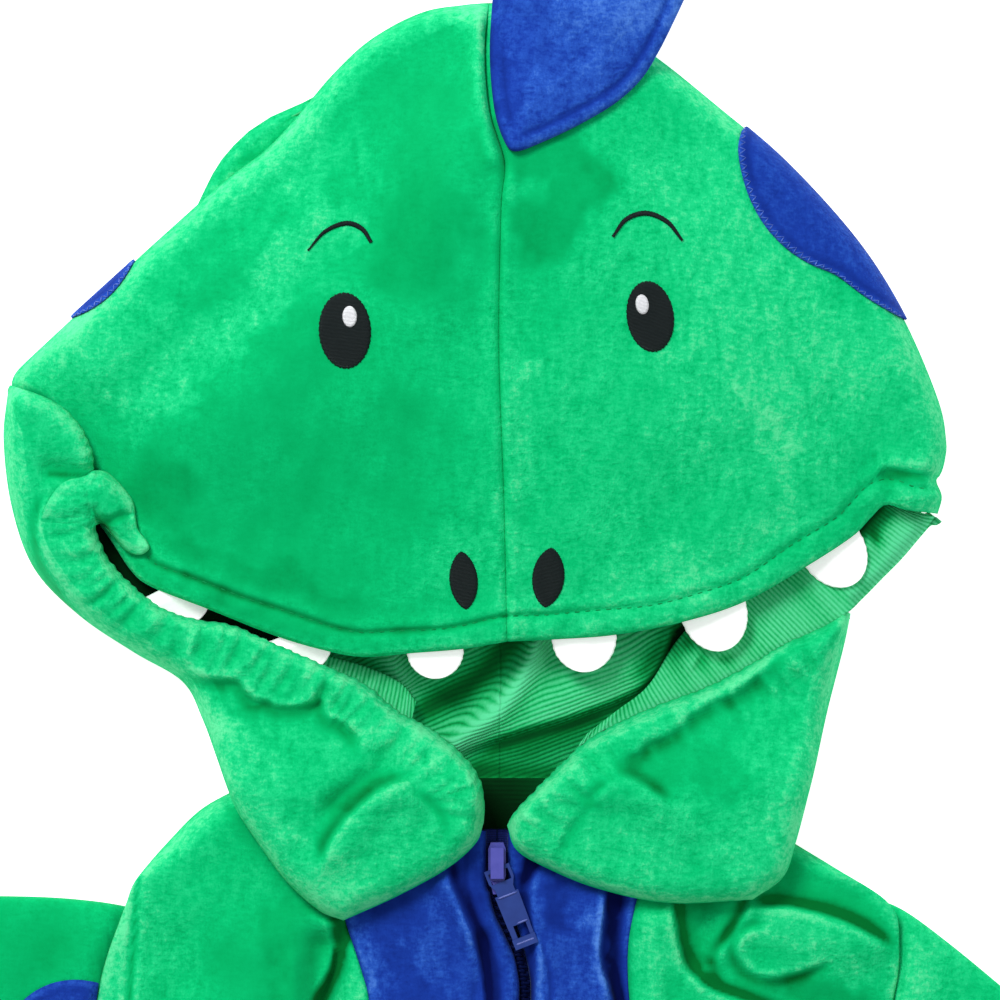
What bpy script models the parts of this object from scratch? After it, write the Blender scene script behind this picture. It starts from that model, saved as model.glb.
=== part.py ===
"""Toddler's dinosaur costume in plush, lying flat on its back with the hood face up.

Sizes are in millimetres and become metres when a mesh is made. +Y runs to the crown of
the hood, +Z is up from the table, and the origin lies on the underside of the back.
"""

import math

import bmesh
import bpy
import numpy as np
from mathutils import Vector
from mathutils.bvhtree import BVHTree

MM = 0.001
CLOTH = 2.4  # thickness of the plush
GAP = 0.3  # between neighbouring pieces
FELT = 1.2
STITCHED = 0.8  # thickness of embroidery and applied spots

ROLL = 8.0  # how far in from an edge the cloth starts to turn down
LIP_ROLL = 4.0
HOOD_EDGE = 13.0  # height of the hood just inside its rolled edge
HOOD_RISE = 15.0  # how much the crown rises over that
HOOD_HALF = 150.0
HEM_DROP = 8.0  # the upper lip lies this much lower than the crown
CHEEK_TOP = 16.5  # height of the cheeks at the mouth corners
CHEEK_RISE = 9.5  # how much higher they lie over the body
GATHER = 1.6
BODY_TOP = 14.0
BODY_RISE = 2.2
BODY_HALF = 130.0
UNDER_HOOD = 16.4  # highest point of the body where the cheeks lie on it
DRAPE = 17.0  # height at which the cheeks lie on the body
BODY_ROWS = np.array([6, -1, -8, -14, -19, -24, -29, -34, -39, -45, -54, -70, -92, -114, -132, -160,
                      -195, -225, -250, -268, -281, -291])  # y of the belly's sections
SLEEVE_SEAM = 12.6  # height of the body's edge over a sleeve
ZIP_EDGE = 12.0  # height of the belly's edges beside the zip
CHAIN_TOP = 11.7
TAPE_TOP = 11.2
NECK_SEAM = 22.0  # y of the seam between hood back and body back
CROTCH = -335.0
LEG_HEM = -570.0
BELLY_END = -296.0

GREEN = (0.0, 0.52, 0.17, 1)
DULL_GREEN = (0.02, 0.36, 0.14, 1)
BLUE = (0.02, 0.06, 0.48, 1)
WHITE = (0.9, 0.9, 0.88, 1)
BLACK = (0.01, 0.012, 0.016, 1)
ZIP_BLUE = (0.03, 0.07, 0.4, 1)

# Outlines seen from above; every row is one point (x, y)
HOOD_LEFT = [
    (-9, 263), (-24, 260.5), (-39.4, 252.5), (-52, 241), (-63, 228), (-73, 217.5), (-86, 207.5),
    (-102.6, 192.8), (-130, 168), (-146, 153), (-153.3, 142), (-154.6, 127), (-152, 106),
    (-145, 87), (-131, 72.5), (-114, 61), (-99, 52), (-92.7, 40.6), (-87.4, 27.9), (-82, 14),
    (-76, 4.3), (-66, -9.3), (-56, -18.3), (-48.4, -21.4),
]
HOOD_RIGHT = [
    (2, 263.2), (18, 261.5), (34, 255.5), (48.7, 246.4), (68, 231), (89, 213), (111, 188.5),
    (125.7, 165), (136.4, 140), (139, 127), (137.6, 115), (134.5, 104), (128, 97), (120.6, 87.4),
    (110.5, 76), (107, 62.6), (101.7, 41.9), (96.4, 21.7), (91.5, 3), (87.5, -8), (78, -15),
]
FACE_LEFT = HOOD_LEFT[:10] + [(-149, 143), (-147, 134)]
FACE_RIGHT = HOOD_RIGHT[:10] + [(137.6, 117), (135, 109.5)]
CENTRE_SEAM = [
    (-3.5, 263.2), (-4.7, 246.4), (-3.1, 227.8), (1.4, 212), (0.4, 198), (-0.3, 155), (1.2, 110),
    (2.2, 64.8),
]
# Height of the casing's edge along the lip (x, y, height)
RIM_LEFT = [
    (-152, 143, 12.4), (-127, 122, 12.4), (-122, 91, 10.4), (-103, 74.6, 10.9), (-82, 70, 12),
    (-71, 65, 14.9), (-60, 60, 14.9), (-50, 56, 12), (-31.6, 43.5, 11), (-11.8, 30.4, 13.5),
    (-4.7, 15, DRAPE), (-5, 9, DRAPE),
]
RIM_RIGHT = [
    (108.2, 74.5, 9.5), (64, 50.8, 9.5), (27, 34.4, 11.5), (9.5, 18, 16), (4.2, 12, DRAPE),
    (2.2, 8, DRAPE),
]
HEM_LEFT = [
    (2.2, 64.8), (-11.5, 62.5), (-27, 61.2), (-42.2, 60), (-55, 62.2), (-70, 66.7), (-90, 75),
    (-109, 83.5), (-120, 97), (-134, 114), (-147, 134),
]
HEM_RIGHT = [
    (2.2, 64.8), (16.4, 65.4), (35.3, 66.8), (56, 70.7), (75.6, 77), (95, 88), (110, 98.5),
    (121, 106), (135, 109.5),
]
LIP_LEFT = [
    (-152.3, 143.5), (-143.8, 141.4), (-136.7, 137.6), (-130, 131), (-127, 122), (-128.5, 111),
    (-127.5, 101), (-122, 91), (-112, 81.5), (-103.2, 74.6), (-93.3, 71.6), (-82.8, 70),
    (-71.3, 65.1), (-55.8, 58.3), (-42, 52), (-31.6, 43.5), (-21.4, 38), (-11.8, 30.4),
    (-6.2, 23), (-4.7, 15), (-5, 9),
]
LIP_RIGHT = [
    (108.2, 74.5), (99.8, 69.2), (88, 64), (77, 57.5), (64, 50.8), (50, 45.6), (38, 40.5),
    (27, 34.4), (18, 26.5), (9.5, 18), (4.2, 12), (2.2, 8),
]
CHEEK_END_LEFT = [(-5, 9), (-7.5, 2.4), (-16.7, -5.6), (-32, -14), (-48.4, -21.4)]
CHEEK_END_RIGHT = [(2.2, 8), (5, 0.5), (14, -5), (30, -11.5), (52, -16), (78, -15)]
BODY_LEFT = [
    (-76, 20.5), (-84, 17.4), (-94, 11.5), (-103.8, 1.6), (-109.8, -5.3), (-113.6, -10.5),
    (-115.6, -16), (-118.4, -23.5), (-121.8, -33.2), (-124.3, -44), (-126, -62), (-125.5, -85),
    (-122, -108), (-119, -126), (-120, -142), (-124, -168), (-130, -210), (-135, -260),
    (-138, -310), (-139, -370), (-135, -440), (-129, -510), (-124, LEG_HEM),
]
BODY_RIGHT = [
    (62, 19.5), (71, 14), (81, 8), (92, 1.4), (105, -6.2), (114.5, -12), (118.3, -18), (122.4, -27),
    (123.6, -36), (121.6, -47), (117, -66), (112, -90), (108.4, -112), (107.4, -126), (110, -145),
    (118, -180), (126, -222), (132, -265), (136, -312), (138, -370), (135, -440), (130, -510),
    (126, LEG_HEM),
]
INNER_LEG = [(0.15, CROTCH), (5, -338), (11, -350), (19, -400), (27, -470), (31, -530), (32, LEG_HEM)]
ZIP_LINE = [
    (-0.9, 7), (-0.9, -8), (0.4, -17), (4, -27), (6.7, -37), (7.3, -47), (5.6, -75), (2, -120),
    (0, -180), (0, -240), (0, BELLY_END),
]
BELLY_LEFT = [
    (-60, 19), (-54, 8), (-50, -8), (-48, -21), (-42.8, -37), (-40.5, -48), (-43, -66), (-50, -95),
    (-58, -135), (-61, -175), (-57, -215), (-45, -250), (-27, -277), (-12, -290), (-4.2, BELLY_END),
]
BELLY_RIGHT = [
    (54, 18), (49, 8), (45, -6), (41.6, -18), (39.6, -30), (40, -46), (43, -66), (50, -95),
    (58, -135), (61, -175), (57, -215), (45, -250), (27, -277), (12, -290), (4.2, BELLY_END),
]

# Folds: a soft ridge or trough from one end to the other (x1, y1, x2, y2, width, height)
FACE_FOLDS = [
    (-60, 196, -122, 150, 11, 2.2),
    (-84, 172, -120, 138, 12, -2.0),
    (-10, 238, -22, 170, 12, 1.6),
    (74, 196, 116, 150, 14, 1.5),
    (92, 136, 104, 112, 7, 1.6),
    (60, 110, 96, 134, 12, -1.6),
    (-40, 110, -92, 104, 20, -1.8),
    (-150, 142, -126, 104, 17, -5.2),
    (118, 115, 138, 121, 4.0, -2.4),
    (119, 108.5, 135, 113.5, 4.2, 2.2),
]
FIN_RIDGE = [(-9, 258, -8.5, 222, 5.5, 2.6)]
BACK_FOLDS = [
    (12, 74, -14, 33, 8, 5.8),
    (38, 56, 2, 36, 9, 4.2),
    (-90, 170, -40, 120, 15, 2.0),
    (88, 172, 40, 128, 15, 2.0),
]
CHEEK_FOLDS = [
    (-36, 27, -51, 15, 4.2, -2.6),
    (-34, 19, -56, -5, 6.0, 1.8),
    (-22, 12, -18, -3, 4.0, -1.2),
    (-124, 116, -139, 118, 4.2, -2.6),
    (-46, 36, -54, 48, 4.5, -1.8),
    (26, 32, 32, 27, 4.2, -2.0),
    (27, 17, 30, 14, 3.6, -2.2),
    (33, 22, 57, 10, 7.0, 2.0),
    (70, 40, 88, 50, 9.0, 1.5),
]
BODY_FOLDS = [
    (-54.5, -30, -56, -62, 6.5, -8.5),
    (-72, -32, -82, -84, 13, 2.6),
    (-98, -30, -100, -80, 9, -2.0),
    (-16.5, -9, -9, -25, 4.2, 1.4),
    (-4.8, -27, -7.6, -52, 2.6, -1.9),
    (11.5, -4, 8.6, -14, 3.0, -1.2),
    (31.5, -14, 32, -44, 4.0, 1.2),
    (35.8, -17, 35.8, -58, 3.0, -2.4),
    (48.5, -24, 50, -72, 6.0, 2.4),
    (60.5, -19, 58, -48, 6.6, -7.5),
    (78, -22, 66, -46, 5.4, 3.4),
    (73.5, -19, 74, -33, 4.2, -3.0),
    (84, -24, 104, -27, 8.0, 3.6),
    (104, -27, 118, -36, 7.0, 2.6),
    (86, -46, 112, -50, 8.0, -4.5),
    (-96, -132, -58, -205, 15, 3.2),
    (92, -134, 52, -200, 14, 3.0),
    (-84, -250, -30, -312, 13, 3.0),
    (88, -242, 28, -306, 12, 2.8),
    (-20, -328, -78, -352, 11, -3.0),
    (18, -330, 84, -362, 12, -3.0),
    (-118, -436, -62, -424, 8, -2.6),
    (-112, -462, -48, -470, 9, 2.4),
    (58, -430, 122, -446, 8, -2.6),
    (46, -474, 108, -462, 9, 2.4),
    (-78, -500, -82, -556, 12, 2.2),
    (82, -506, 76, -560, 12, 2.2),
]
SLEEVE_FOLDS = [
    (-150, -34, -196, -86, 12, 2.4),
    (-158, -98, -214, -60, 10, -2.2),
    (-232, -30, -250, -92, 10, 2.2),
    (-284, -36, -276, -92, 9, -1.8),
    (150, -66, 196, -150, 12, 2.4),
    (136, -118, 198, -118, 10, -2.2),
    (214, -106, 206, -178, 10, 2.2),
    (256, -140, 236, -196, 9, -1.8),
]

# Sleeves: upper edge, lower edge and height at each section (ax, ay, bx, by, height)
SLEEVE_LEFT = [
    (-112.3, -18.5, -112.3, -120, 11.6),
    (-126, -16.2, -127, -121, 12.0),
    (-144, -14.8, -147, -119, 13.2),
    (-172, -14.6, -176, -115.5, 14.0),
    (-205, -15.6, -209, -111, 13.6),
    (-240, -17.8, -242, -106.5, 13.6),
    (-275, -20.6, -275, -102, 13.2),
    (-308, -23.8, -307, -98.6, 12.6),
    (-335, -27, -333, -97, 12.0),
]
SLEEVE_RIGHT = [
    (111.5, -14.5, 103.2, -122, 11.6),
    (124, -18.2, 113, -131, 12.0),
    (140, -29.6, 129, -143, 13.2),
    (163, -48.6, 151, -158, 14.0),
    (190, -70.8, 175, -174, 13.6),
    (220, -95.6, 200, -190, 13.6),
    (249, -120, 223, -204, 13.2),
    (277, -144.5, 243, -216, 12.6),
    (303, -168, 261, -226, 12.0),
]

# Teeth: middle of the root on the hem, direction, width, length, droop (x, y, angle, w, l, d)
TEETH = [
    (-99.5, 79.2, -63, 19.5, 10.0, 2.6),
    (-61.5, 64.4, -68, 19.0, 9.5, 2.4),
    (-20.0, 61.8, -88, 17.5, 8.6, 1.2),
    (26.0, 66.0, -87, 20.0, 10.8, 1.4),
    (66.2, 73.8, -72, 20.5, 12.4, 0.6),
    (103.0, 93.4, -56, 20.0, 13.0, 0.3),
]

# Embroidered ovals: centre, half width, half height, tilt, pointedness, lift, colour
OVALS = {
    "eye_left": (-47.7, 160.6, 8.1, 11.8, 3, 1.0, 0.6, BLACK),
    "eye_right": (46.2, 164.9, 7.3, 11.0, 8, 1.0, 0.6, BLACK),
    "glint_left": (-46.2, 164.9, 2.4, 3.5, 3, 1.0, 1.8, WHITE),
    "glint_right": (43.7, 168.6, 2.2, 3.3, 8, 1.0, 1.8, WHITE),
    "nostril_left": (-11.2, 83.7, 4.4, 9.0, 5, 1.35, 0.6, BLACK),
    "nostril_right": (14.9, 84.6, 5.0, 9.3, -6, 1.35, 0.6, BLACK),
}
BROWS = {
    "brow_left": [(-59.2, 185.4), (-54, 191.2), (-47.5, 193.8), (-42.5, 192), (-39.7, 187.9)],
    "brow_right": [(34.7, 189.4), (38.8, 194.8), (45, 196.8), (51.5, 194.2), (56.1, 188.5)],
}
BROW_WIDTH = 1.6

CASING_CORNER = [
    (-139, 113), (-131, 118.5), (-119, 114.5), (-113, 105), (-108.6, 96.5), (-109.8, 92),
    (-116, 96), (-124, 102.5), (-133, 105.5), (-139, 113),
]
# The casing's ribbed wrong side: lower edge, upper edge, heights along it
FACING_LEFT = (
    [(-60, 57), (-47, 50), (-36, 43), (-28, 38)],
    [(-56, 61), (-42, 57), (-31, 52), (-26, 46)],
    [10.5, 10.5, 10.5, 10.5],
)
FACING_RIGHT = (
    [(31, 39), (43, 45), (57, 50.5), (73, 57.5), (86, 66.5), (100, 72.5), (112, 80), (122, 90.5),
     (131, 101)],
    [(37, 44), (47, 52), (56, 66), (68, 77), (82, 84), (96, 93), (108, 100.5), (117, 104),
     (124, 106)],
    [9.2, 9.0, 6.6, 6.0],
)
FACING_RIGHT_EDGE = [(112, 78), (121, 87), (128.5, 96), (134, 103.5)]  # rolls down to the table

FIN = [
    (-2.2, 266), (-3.2, 246.4), (-1.8, 229), (1.2, 219), (4.6, 215.6), (12.7, 218.4), (24.2, 224),
    (35.6, 231), (43.6, 238.5), (49, 247), (54, 257), (59, 268), (63.5, 280), (61, 282.5),
    (48, 281.5), (28, 277.5), (10, 271.5),
]
PEEP = 11.0  # how far the hood back reaches out at the upper left, past its usual place
FIN_PUFF = 5.4
FIN_EDGE = 1.4

SPOT_LIFT = 0.95  # of an applied spot over its panel's corners
SPOT_RIGHT_ENDS = ((76.0, 223.5), (126.0, 164.4))  # where the spot meets the hood's edge
SPOT_RIGHT_DEPTH = 21.0
SPOT_LEFT_ENDS = ((-113.5, 183.0), (-133.0, 165.2))
SPOT_LEFT_DEPTH = 3.6
SLEEVE_SPOT = (-131.5, -60.0, 19.5, 19.5)  # centre and half sizes
SLEEVE_SPOT_STOP = -128.4  # the body's edge hides the rest

PIVOT = (-0.9, -5.6, 16.8)  # the pull tab's hinge
TAB_ANGLE = math.radians(21.4)

panels = {}
solids = {}


def material(name, colour, rough=0.9, metal=0.0):
    """A plain Principled material."""
    made = bpy.data.materials.get(name) or bpy.data.materials.new(name)
    made.use_nodes = True
    shader = made.node_tree.nodes["Principled BSDF"]
    shader.inputs["Base Color"].default_value = colour
    shader.inputs["Roughness"].default_value = rough
    shader.inputs["Metallic"].default_value = metal
    return made


def add_object(name, corners, faces, finish):
    """A closed mesh from corners in millimetres."""
    mesh = bpy.data.meshes.new(name)
    mesh.from_pydata([tuple(float(c) * MM for c in corner) for corner in corners], [], faces)
    shape = bmesh.new()
    shape.from_mesh(mesh)
    bmesh.ops.recalc_face_normals(shape, faces=shape.faces)
    bmesh.ops.triangulate(shape, faces=shape.faces)
    shape.to_mesh(mesh)
    shape.free()
    mesh.shade_smooth()
    mesh.set_sharp_from_angle(angle=math.radians(40))
    made = bpy.data.objects.new(name, mesh)
    made.data.materials.append(finish)
    bpy.context.scene.collection.objects.link(made)
    return made


def smooth(points, steps=10):
    """A smooth line through the points."""
    p = np.array(points, float)
    p = np.vstack([2 * p[0] - p[1], p, 2 * p[-1] - p[-2]])
    t = np.arange(steps)[:, None] / steps
    spans = []
    for a, b, c, d in zip(p, p[1:], p[2:], p[3:]):
        spans.append(0.5 * (2 * b + (c - a) * t + (2 * a - 5 * b + 4 * c - d) * t**2
                            + (3 * b - a - 3 * c + d) * t**3))
    return np.vstack(spans + [p[-2:-1]])


def at(line, fraction):
    """Points at these fractions of a line's length."""
    steps = np.linalg.norm(np.diff(line, axis=0), axis=1)
    run = np.concatenate([[0], np.cumsum(steps)])
    where = np.asarray(fraction) * run[-1]
    return np.stack([np.interp(where, run, line[:, k]) for k in range(line.shape[1])], -1)


def fraction_near(line, point):
    """The fraction of a line's length at which it passes nearest to a point."""
    tries = np.linspace(0, 1, 801)
    return tries[np.linalg.norm(at(line, tries) - point, axis=1).argmin()]


def gap_to(xy, line):
    """Distance of points from a line, seen from above."""
    start = line[:-1]
    along = np.diff(line, axis=0)
    to = xy[..., None, :] - start
    t = np.clip((to * along).sum(-1) / np.maximum((along * along).sum(-1), 1e-9), 0, 1)
    return np.linalg.norm(to - t[..., None] * along, axis=-1).min(-1)


def inside(xy, loop):
    """Whether points lie inside a closed loop."""
    x, y = xy[..., 0, None], xy[..., 1, None]
    x1, y1 = loop[:, 0], loop[:, 1]
    x2, y2 = np.roll(x1, -1), np.roll(y1, -1)
    rise = np.where(y2 == y1, 1e-9, y2 - y1)
    crosses = ((y1 > y) != (y2 > y)) & (x < (x2 - x1) * (y - y1) / rise + x1)
    return crosses.sum(-1) % 2 == 1


def ease(t):
    t = np.clip(t, 0, 1)
    return t * t * (3 - 2 * t)


def turn(distance, radius):
    """Height share of a rolled edge, from 0 at the edge to 1 where the roll ends."""
    return np.sqrt(1 - (1 - np.clip(distance / radius, 0, 1)) ** 2)


def folds(xy, table):
    """Height that the ridges and troughs of a table add."""
    total = np.zeros(xy.shape[:-1])
    for x1, y1, x2, y2, width, height in table:
        away = gap_to(xy, np.array([(x1, y1), (x2, y2)], float))
        total += height * np.exp(-((away / width) ** 2))
    return total


def patch(inner, outer, first, last, u, v):
    """Points of a four-sided patch; u runs from inner to outer and v from first to last."""
    v = np.asarray(v)[:, None] * np.ones_like(u)
    uu, vv = u[..., None], v[..., None]
    edges = (1 - uu) * at(inner, v) + uu * at(outer, v) + (1 - vv) * at(first, u) + vv * at(last, u)
    ends = ((1 - uu) * (1 - vv) * inner[0] + uu * (1 - vv) * outer[0]
            + (1 - uu) * vv * inner[-1] + uu * vv * outer[-1])
    return edges - ends


def columns(length, near, middle, far):
    """Fractions across a row: distances from its start, shares of the middle, distances to its end."""
    near, middle, far = (np.array(part, float) for part in (near, middle, far))
    fit = min(1.0, 0.8 * length / (near[-1] + far[0] + 1e-9))
    low, high = near[-1] * fit, length - far[0] * fit
    return np.concatenate([near * fit, low + (high - low) * middle, length - far * fit]) / length


def roll_steps(radius, angles=(0, 28, 48, 68, 90)):
    """Distances from an edge that suit its roll."""
    return [radius * (1 - math.sin(math.radians(angle))) for angle in angles]


def outward(grid, ring=False):
    """Unit normals of a grid of points."""
    if ring:
        across = np.roll(grid, -1, axis=1) - np.roll(grid, 1, axis=1)
    else:
        across = np.gradient(grid, axis=1)
    along = np.gradient(grid, axis=0)
    normal = np.cross(across, along)
    size = np.linalg.norm(normal, axis=-1, keepdims=True)
    normal = np.where(size > 1e-9, normal / np.maximum(size, 1e-9), (0, 0, 1))
    if ring:
        centre = grid.mean(axis=1, keepdims=True)
        sign = np.sign(((grid - centre) * normal).sum())
    else:
        sign = np.sign(normal[..., 2].mean())
    return normal * sign, across


def wall(name, grid, finish, thick=CLOTH, floor=0.0, seams=(), ring=False):
    """A cloth wall whose outer face is the grid; seam edges keep their side upright."""
    normal, across = outward(grid, ring)
    for column, rows in seams:
        flat = across[rows, column] * (1, 1, 0)
        flat = flat / np.linalg.norm(flat, axis=-1, keepdims=True)
        kept = normal[rows, column]
        kept = kept - (kept * flat).sum(-1, keepdims=True) * flat
        normal[rows, column] = kept / np.linalg.norm(kept, axis=-1, keepdims=True)
    inner = grid - thick * normal
    if not ring:
        inner[..., 2] = np.maximum(inner[..., 2], floor)
    rows, cols = grid.shape[:2]
    corners = np.vstack([grid.reshape(-1, 3), inner.reshape(-1, 3)])
    shift = rows * cols
    faces = []
    for r in range(rows - 1):
        for c in range(cols if ring else cols - 1):
            d = (c + 1) % cols
            a, b, e, f = r * cols + c, r * cols + d, (r + 1) * cols + d, (r + 1) * cols + c
            faces += [(a, b, e, f), (shift + f, shift + e, shift + b, shift + a)]
    rim = [(r * cols, (r + 1) * cols) for r in range(rows - 1)]
    rim += [((r + 1) * cols - 1, (r + 2) * cols - 1) for r in range(rows - 1)]
    ends = [(c, (c + 1) % cols) for c in range(cols if ring else cols - 1)]
    last = (rows - 1) * cols
    rim = ends + [(a + last, b + last) for a, b in ends] + ([] if ring else rim)
    faces += [(a, b, b + shift, a + shift) for a, b in rim]
    solids[name] = add_object(name, corners, faces, finish)
    return normal


def surface(name):
    """A tree of a solid's faces, in millimetres, for finding heights."""
    mesh = solids[name].data
    corners = [tuple(vertex.co / MM) for vertex in mesh.vertices]
    return BVHTree.FromPolygons(corners, [tuple(face.vertices) for face in mesh.polygons])


def top_at(trees, x, y, spare=-1000.0):
    """The highest point of some solids over a place."""
    hits = [tree.ray_cast(Vector((x, y, 200)), Vector((0, 0, -1)))[0] for tree in trees]
    return max([hit.z for hit in hits if hit] + [spare])


def under_at(trees, x, y, spare=1000.0):
    """The lowest face of some solids over a place."""
    hits = [tree.ray_cast(Vector((x, y, 4)), Vector((0, 0, 1)))[0] for tree in trees]
    return min([hit.z for hit in hits if hit] + [spare])


def pad(name, outline, low, high, finish, rings=(1.0, 0.6)):
    """A flat solid over an outline; low and high give its heights at a point and ring share."""
    centre = outline.mean(axis=0)
    count = len(outline)
    levels = [centre + (outline - centre) * share for share in rings]
    corners = []
    for height in (high, low):
        for share, level in zip(rings, levels):
            corners += [(x, y, height(x, y, share)) for x, y in level]
        corners.append((*centre, height(*centre, 0.0)))
    shift = len(rings) * count + 1
    faces = []
    for i in range(count):
        j = (i + 1) % count
        for start in (0, shift):
            for ring in range(len(rings) - 1):
                a = start + ring * count
                faces.append((a + i, a + j, a + count + j, a + count + i))
            a = start + (len(rings) - 1) * count
            faces.append((a + i, a + j, start + shift - 1))
        faces.append((i, j, shift + j, shift + i))
    solids[name] = add_object(name, corners, faces, finish)


def oval(x, y, half_wide, half_high, tilt=0.0, point=1.0, count=24):
    """The outline of an oval, pointed at its ends where point is over 1."""
    t = np.arange(count) * 2 * math.pi / count
    a = half_wide * np.sign(np.cos(t)) * np.abs(np.cos(t)) ** point
    b = half_high * np.sin(t)
    turned = math.radians(tilt)
    return np.stack([x + a * math.cos(turned) - b * math.sin(turned),
                     y + a * math.sin(turned) + b * math.cos(turned)], -1)


def prism(name, outline, low, high, finish):
    """An outline in plan raised from one height to another."""
    count = len(outline)
    corners = [(x, y, low) for x, y in outline] + [(x, y, high) for x, y in outline]
    faces = [tuple(range(count)), tuple(range(2 * count - 1, count - 1, -1))]
    faces += [(i, (i + 1) % count, (i + 1) % count + count, i + count) for i in range(count)]
    return add_object(name, corners, faces, finish)


def combine(base, other, operation):
    """Unites or cuts two solids and keeps the first."""
    step = base.modifiers.new(other.name, "BOOLEAN")
    step.operation = operation
    step.object = other
    bpy.context.view_layer.update()
    ready = base.evaluated_get(bpy.context.evaluated_depsgraph_get())
    mesh = bpy.data.meshes.new_from_object(ready)
    base.modifiers.clear()
    base.data = mesh
    bpy.data.objects.remove(other)


hood_left = smooth(HOOD_LEFT)
hood_right = smooth(HOOD_RIGHT)
face_left = smooth(FACE_LEFT)
face_right = smooth(FACE_RIGHT)
face_edge = np.vstack([face_left[::-1], face_right])
cheek_end_left = smooth(CHEEK_END_LEFT)
cheek_end_right = smooth(CHEEK_END_RIGHT)
hood_loop = np.vstack([hood_right, cheek_end_right[::-1], cheek_end_left, hood_left[::-1]])
body_left = smooth(BODY_LEFT)
body_right = smooth(BODY_RIGHT)
inner_leg_right = smooth(INNER_LEG)
inner_leg_left = inner_leg_right * (-1, 1)
body_edges = [body_left, np.vstack([inner_leg_left[::-1], inner_leg_right]), body_right]
zip_line = smooth(ZIP_LINE)


def over_back(xy):
    """1 where the face's edge lies on the hood back: at the upper left and at both corners."""
    x, y = xy[..., 0], xy[..., 1]
    peep = ease((y - 178) / 10) * ease((256 - y) / 8)
    return np.where(x < 0, np.maximum(peep, ease((158 - y) / 8)), ease((127 - y) / 8))


def face_height(xy, table=FACE_FOLDS):
    """Outer height of the upper jaw."""
    edge = gap_to(xy, face_edge)
    base = (CLOTH + GAP) * over_back(xy)
    dome = (1 - np.clip(xy[..., 0] / HOOD_HALF, -1, 1) ** 2) * ease(edge / 60)
    drop = HEM_DROP * ease((150 - xy[..., 1]) / 90)
    top = HOOD_EDGE + HOOD_RISE * dome - drop * ease(edge / 30) + folds(xy, table)
    return base + (top - base) * turn(edge, ROLL), base


def face(name, side, outline, hem, table):
    """One half of the upper jaw, from the centre seam to the rolled edge."""
    seam = smooth(CENTRE_SEAM) + (side * GAP / 2, 0)
    edge = smooth(outline)
    lip = smooth(hem)
    lip = lip + np.outer(np.linspace(1, 0, len(lip)), (side * GAP / 2, 0))
    first = np.array([seam[0], edge[0]])
    rows = np.array([0, .014, .04, .08, .13, .19, .25, .31, .37, .43, .49, .55, .61, .67, .73, .79,
                     .85, .9, .935, .963, 1])
    u = []
    for v in rows:
        length = np.linalg.norm(at(edge, v) - at(seam, v))
        u.append(columns(length, [0, 5], [.14, .28, .42, .55, .68, .8, .91], roll_steps(ROLL)))
    u = np.array(u)
    plan = patch(seam, edge, first, lip, u, rows)
    height, base = face_height(plan, table)
    grid = np.dstack([plan, height])
    normal = wall(name, grid, GREEN_PLUSH, floor=base, seams=[(0, slice(None))])
    panels[name] = (grid, normal, u, rows)


def rim_height(line, table, share):
    """Height at which the casing's edge ends, along the mouth."""
    shares = [fraction_near(line, np.array(row[:2])) for row in table]
    return np.interp(share, shares, [row[2] for row in table])


def gathers(share, away, count, depth):
    """Puckers of the elastic casing: a puffed band with uneven waves along it."""
    band = np.exp(-(((away - LIP_ROLL) / 4.5) ** 2))
    wave = np.sin(2 * math.pi * count * (share + 0.012 * np.sin(17 * share) + 0.006 * np.sin(41 * share)))
    return band * depth * (0.55 + 0.45 * wave)


def cheek(name, lip, rims, edge, end, waves):
    """One side of the lower jaw, from the gathered lip to the rolled outer edge."""
    lip_line, edge_line, end_line = smooth(lip), smooth(edge), smooth(end)
    first = np.array([lip_line[0], edge_line[0]])
    rolled = np.vstack([edge_line, end_line[::-1]])
    rows = np.concatenate([np.linspace(0, 0.93, 25), [0.965, 1]])
    u = []
    for v in rows:
        length = np.linalg.norm(at(edge_line, v) - at(lip_line, v))
        u.append(columns(length, [0, .8, 4, 8.5], [.25, .5, .75], roll_steps(ROLL)))
    u = np.array(u)
    plan = patch(lip_line, edge_line, first, end_line, u, rows)
    base = DRAPE * ease((47 - plan[..., 1]) / 27)
    away = gap_to(plan, lip_line)
    top = CHEEK_TOP + CHEEK_RISE * ease((52 - plan[..., 1]) / 36) + folds(plan, CHEEK_FOLDS)
    top += gathers(rows[:, None], away, waves, GATHER)
    height = base + (top - base) * turn(gap_to(plan, rolled), ROLL)
    rim = np.maximum(rim_height(lip_line, rims, rows)[:, None], base)
    lowered = rim + (height - rim) * turn(away, LIP_ROLL)
    height = np.where(height > rim, lowered, height)
    floor = np.where((away < LIP_ROLL) & (height >= rim), rim, base)
    grid = np.dstack([plan, height])
    normal = wall(name, grid, GREEN_PLUSH, floor=floor)
    panels[name] = (grid, normal, u, rows)


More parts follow.
